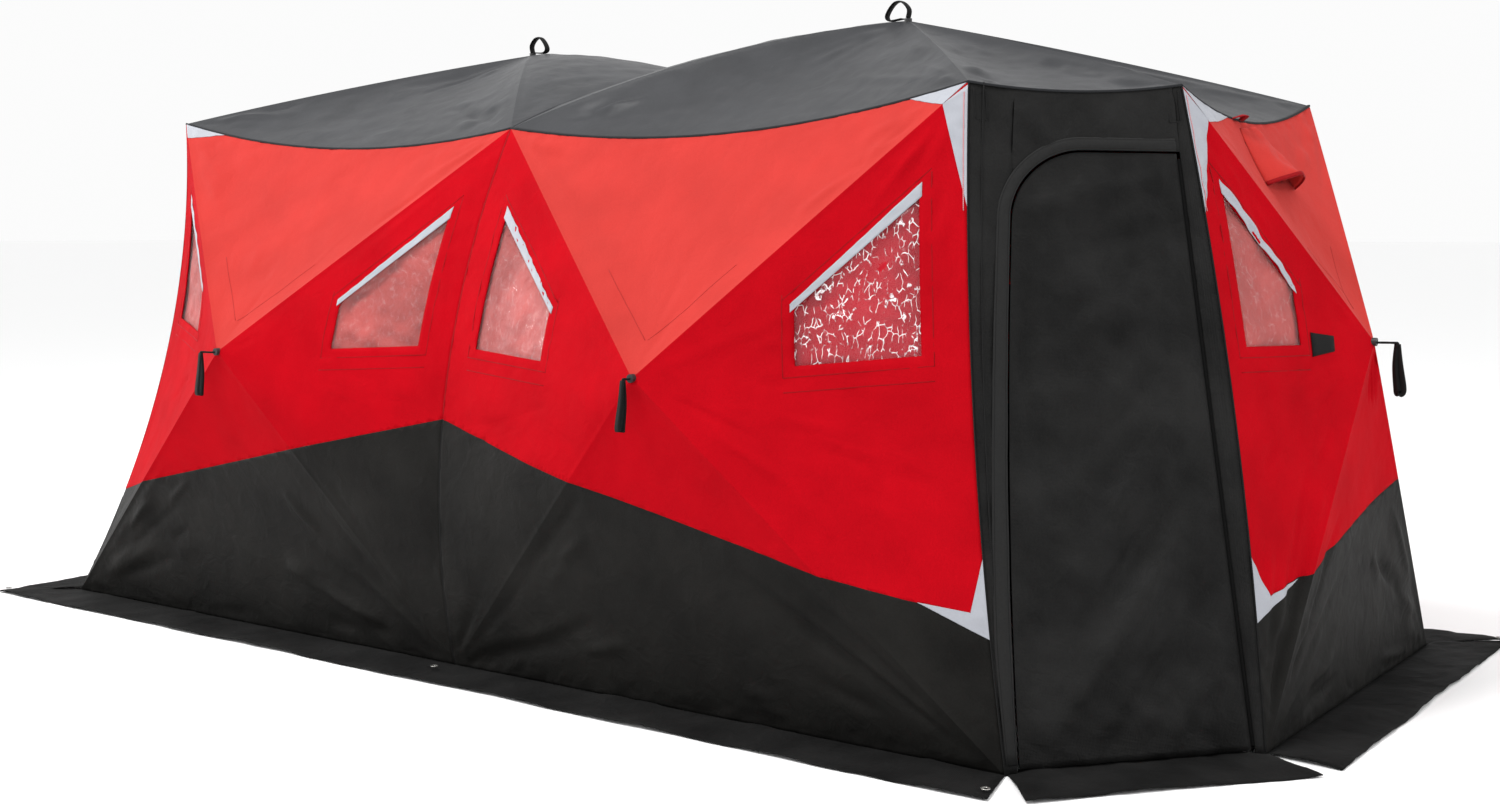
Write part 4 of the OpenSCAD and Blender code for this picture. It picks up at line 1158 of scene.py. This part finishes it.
strap_cords = strips("strap_cords", [(line, np.cross(np.gradient(line, axis=0), side + 0.01))
                                     for line, side in cord_paths], 0.006, 0.005)
lean = unit(np.array([-0.98, 0.12, 0]))
loop = bent_line([hub_roof + UP * high + lean * over for high, over in (
    (0.009, 0), (0.035, -0.004), (0.058, 0.018), (0.062, 0.045), (0.046, 0.068), (0.02, 0.084),
    (0.006, 0.07), (0.009, 0.02))], 40)
across_loop = np.cross(np.gradient(loop, axis=0), unit(np.cross(UP, lean)))
roof_loop = strips("roof_loops", [(loop, across_loop)], 0.024, 0.0034)
patch_r, patch_s = np.linspace(0.27, 0.42, 6)[:, None], np.linspace(0.355, 0.445, 6)[None, :]
hook_tape = sewn_sheet("hook_tape", [
    plain_grid(on_panel(bay_3["left"], patch_s, patch_r, 0.0035), bay_3["left"]["out"],
               patch_s, patch_r)], 0.002, sharp=False)
for piece, nodes, other in ((wall_straps, ["wall_pull_straps"], "wall_straps_far"),
                            (strap_cords, [], "strap_cords_far"),
                            (roof_loop, ["roof_pull_loops"], "roof_loops_far"),
                            (hook_tape, [], "hook_tape_far")):
    both_halves(piece, other, webbing, "webbing", *nodes)

# --- Skirts ------------------------------------------------------------------
# Rough black canvas sewn to the foot of every wall. It lies on the ground, with
# a wavy outer hem, and has grommets at its corners for anchors.
skirt_cloth = woven_cloth("skirt_canvas", (0.0062, 0.0061, 0.0060), weave=0.005, weave_depth=1.0,
                          shade=0.8, roughness=0.8, sheen=0.01, crumple=1.0, gloss=0.1)
SKIRT = 0.215


def skirt_grid(inner_a, inner_b, outer_a, outer_b, seed, rows, columns):
    u, v = np.linspace(0, 1, rows)[:, None, None], np.linspace(0, 1, columns)[None, :, None]
    points = (inner_a * (1 - u) + inner_b * u) * (1 - v) + (outer_a * (1 - u) + outer_b * u) * v
    points = points + 0 * u
    side = unit(outer_a + outer_b - inner_a - inner_b)
    edge = waves(points[:, -1], seed, 0.5, 0.005) + waves(points[:, -1], seed + 1, 0.12, 0.0015)
    points = points + (edge[:, None, None] - 0.004) * v * side
    lift = smooth(v[..., 0] / 0.12) * (0.006 + waves(points, seed + 2, 0.28, 0.004)
                                       + waves(points, seed + 3, 0.07, 0.0014))
    points[..., 2] = 0.0035 + np.maximum(lift, 0)
    length = np.linalg.norm(inner_b - inner_a)
    return plain_grid(points, UP, u[..., 0] * length, v[..., 0] * SKIRT)


corner_out = np.array([-SKIRT, -SKIRT, 0])
long_skirt = skirt_grid(foot_left, foot_door, foot_left + corner_out,
                        foot_door + np.array([0.25 * SKIRT, -SKIRT, 0]), 61, 150, 12)
end_skirt = skirt_grid(foot_end, foot_right, foot_end + np.array([SKIRT, -0.1 * SKIRT, 0]),
                       foot_right + np.array([SKIRT, SKIRT, 0]), 62, 80, 12)
a, b = foot_door + 0.006 * DOOR_DIR, foot_end - 0.006 * DOOR_DIR
door_skirt = skirt_grid(a, b, a + SKIRT * door_out - 0.2 * SKIRT * DOOR_DIR,
                        b + SKIRT * door_out + 0.2 * SKIRT * DOOR_DIR, 63, 50, 12)
under = np.linspace(0, 1, 50)[:, None]
under = smooth(np.minimum(under, 1 - under) / 0.14) * (1 - np.linspace(0, 1, 12)[None, :]) ** 3
door_skirt["points"] -= 0.075 * under[..., None] * door_out
for grid, name, other, node, size in (
        (long_skirt, "front_skirt", "back_skirt", "long_wall_skirts", (0.215, 4.05)),
        (end_skirt, "right_end_skirt", "left_end_skirt", "end_wall_skirts", (0.215, 1.66)),
        (door_skirt, "right_door_skirt", "left_door_skirt", "door_skirts", (0.29, 0.82))):
    piece = sewn_sheet(name, [grid], 0.0028, sharp=False)
    for sheet in both_halves(piece, other, skirt_cloth, "skirt_fabric", node):
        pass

# Grommets: pale metal eyelets pressed into the skirts
eyelet_metal, shader = new_material("eyelet_metal", Metallic=0.9, Roughness=0.35)
scratch = add_node(eyelet_metal, "TexNoise", {"Vector": spot_on(eyelet_metal, "Object"),
                                              "Scale": 300})
put(eyelet_metal, shader, {"Base Color": add_ramp(
    eyelet_metal, scratch, (0.32, 0.31, 0.29), (0.72, 0.71, 0.68))})
eyelets = []
for spot_at in (foot_mid + np.array([0, -SKIRT * 0.42, 0]),
                foot_door + np.array([0.03, -SKIRT * 0.75, 0]),
                foot_left + corner_out * 0.86, foot_right - corner_out * 0.86):
    middle = (spot_at[0], spot_at[1], 0.0175)
    bpy.ops.object.select_all(action="DESELECT")
    bpy.ops.mesh.primitive_circle_add(vertices=28, radius=0.0065, fill_type="NOTHING",
                                      location=middle)
    ring = bpy.context.active_object
    bpy.ops.object.transform_apply(location=True, rotation=True, scale=True)
    bpy.ops.object.mode_set(mode="EDIT")
    bpy.ops.mesh.select_all(action="SELECT")
    bpy.ops.mesh.extrude_region_move()
    bpy.ops.transform.resize(value=(1.9, 1.9, 1), center_override=middle)
    bpy.ops.object.mode_set(mode="OBJECT")
    finish_with(ring, "SOLIDIFY", thickness=0.0022, offset=0)
    finish_with(ring, "BEVEL", width=0.0009, segments=3, limit_method="ANGLE")
    eyelets.append(ring)
bpy.ops.object.select_all(action="DESELECT")
for ring in eyelets:
    ring.select_set(True)
bpy.context.view_layer.objects.active = eyelets[0]
bpy.ops.object.join()
eyelet_set = bpy.context.active_object
eyelet_set.name = "skirt_eyelets"
eyelet_set.data.transform(eyelet_set.matrix_world)
eyelet_set.matrix_world = Matrix.Identity(4)
work = bmesh.new()
work.from_mesh(eyelet_set.data)
bmesh.ops.recalc_face_normals(work, faces=work.faces)
work.to_mesh(eyelet_set.data)
work.free()
both_halves(eyelet_set, "skirt_eyelets_far", eyelet_metal, "hub")

# --- Frame -------------------------------------------------------------------
# Black fibreglass poles, moulded nylon hubs and corner pockets, and the bolt
# heads outside the fabric. Their shapes are the CAD's own.


def moulded(name, colour, roughness, scale, depth, gloss=0.5):
    """Moulded or drawn plastic with a fine grain."""
    material, shader = new_material(name, Specular_IOR_Level=gloss)
    grain = add_node(material, "TexNoise", {"Vector": spot_on(material, "Object"),
                                            "Scale": scale, "Detail": 4})
    put(material, shader, {
        "Base Color": add_ramp(material, grain, *tones(colour, 0.7, 1.35)),
        "Roughness": add_range(material, grain, roughness - 0.1, roughness + 0.1),
        "Normal": add_bump(material, grain, depth, 0.001)})
    return material


pole_glass = moulded("fibreglass_pole", (0.03, 0.03, 0.032), 0.35, 90, 0.1)
hub_nylon = moulded("hub_nylon", (0.014, 0.014, 0.015), 0.5, 240, 0.3)
piping = moulded("door_piping", (0.004, 0.004, 0.004), 0.85, 400, 0.6, gloss=0.05)
for node, material in (("wall_poles", pole_glass), ("roof_poles", pole_glass),
                       ("wall_hubs", hub_nylon), ("roof_hubs", hub_nylon),
                       ("corner_knuckles", hub_nylon), ("hub_bolt_caps", hub_nylon),
                       ("right_door_hinge_seam", piping), ("left_door_hinge_seam", piping)):
    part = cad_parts[node]
    part.data.materials.clear()
    part.data.materials.append(material)

# --- Floor and light -----------------------------------------------------------
# A plain white floor, a bright even surround and three large soft lamps: one over
# the roof and the long wall, one low at the left, and a weaker one at the right.
bpy.ops.object.select_all(action="DESELECT")
bpy.ops.mesh.primitive_plane_add(size=300, location=(0, 0, 0))
floor = bpy.context.active_object
floor.name = "floor"
bpy.ops.object.transform_apply(location=True, rotation=True, scale=True)
floor_paint, _ = new_material("floor_paint", Base_Color=(0.97, 0.97, 0.97, 1), Roughness=0.9)
floor.data.materials.append(floor_paint)
world = bpy.data.worlds.new("studio")
bpy.context.scene.world = world
world.use_nodes = True
world.node_tree.nodes["Background"].inputs["Color"].default_value = (1.0, 1.0, 1.0, 1)
world.node_tree.nodes["Background"].inputs["Strength"].default_value = 0.97


def soft_lamp(name, location, target, size, power):
    lamp = bpy.data.lights.new(name, "AREA")
    lamp.shape = "DISK"
    lamp.size = size
    lamp.energy = power
    holder = placed(name, lamp)
    holder.location = location
    holder.rotation_euler = (Vector(target) - Vector(location)).to_track_quat("-Z", "Y").to_euler()


soft_lamp("roof_lamp", (-1.0, -4.0, 8.5), (0, 0, 1.0), 3.0, 520)
soft_lamp("left_lamp", (-8, -2.5, 3.2), (-0.5, 0, 1.0), 2.0, 220)
soft_lamp("right_lamp", (7.5, 1.5, 4.6), (1.5, 0, 1.2), 2.0, 95)
bpy.context.scene.view_settings.view_transform = "Standard"
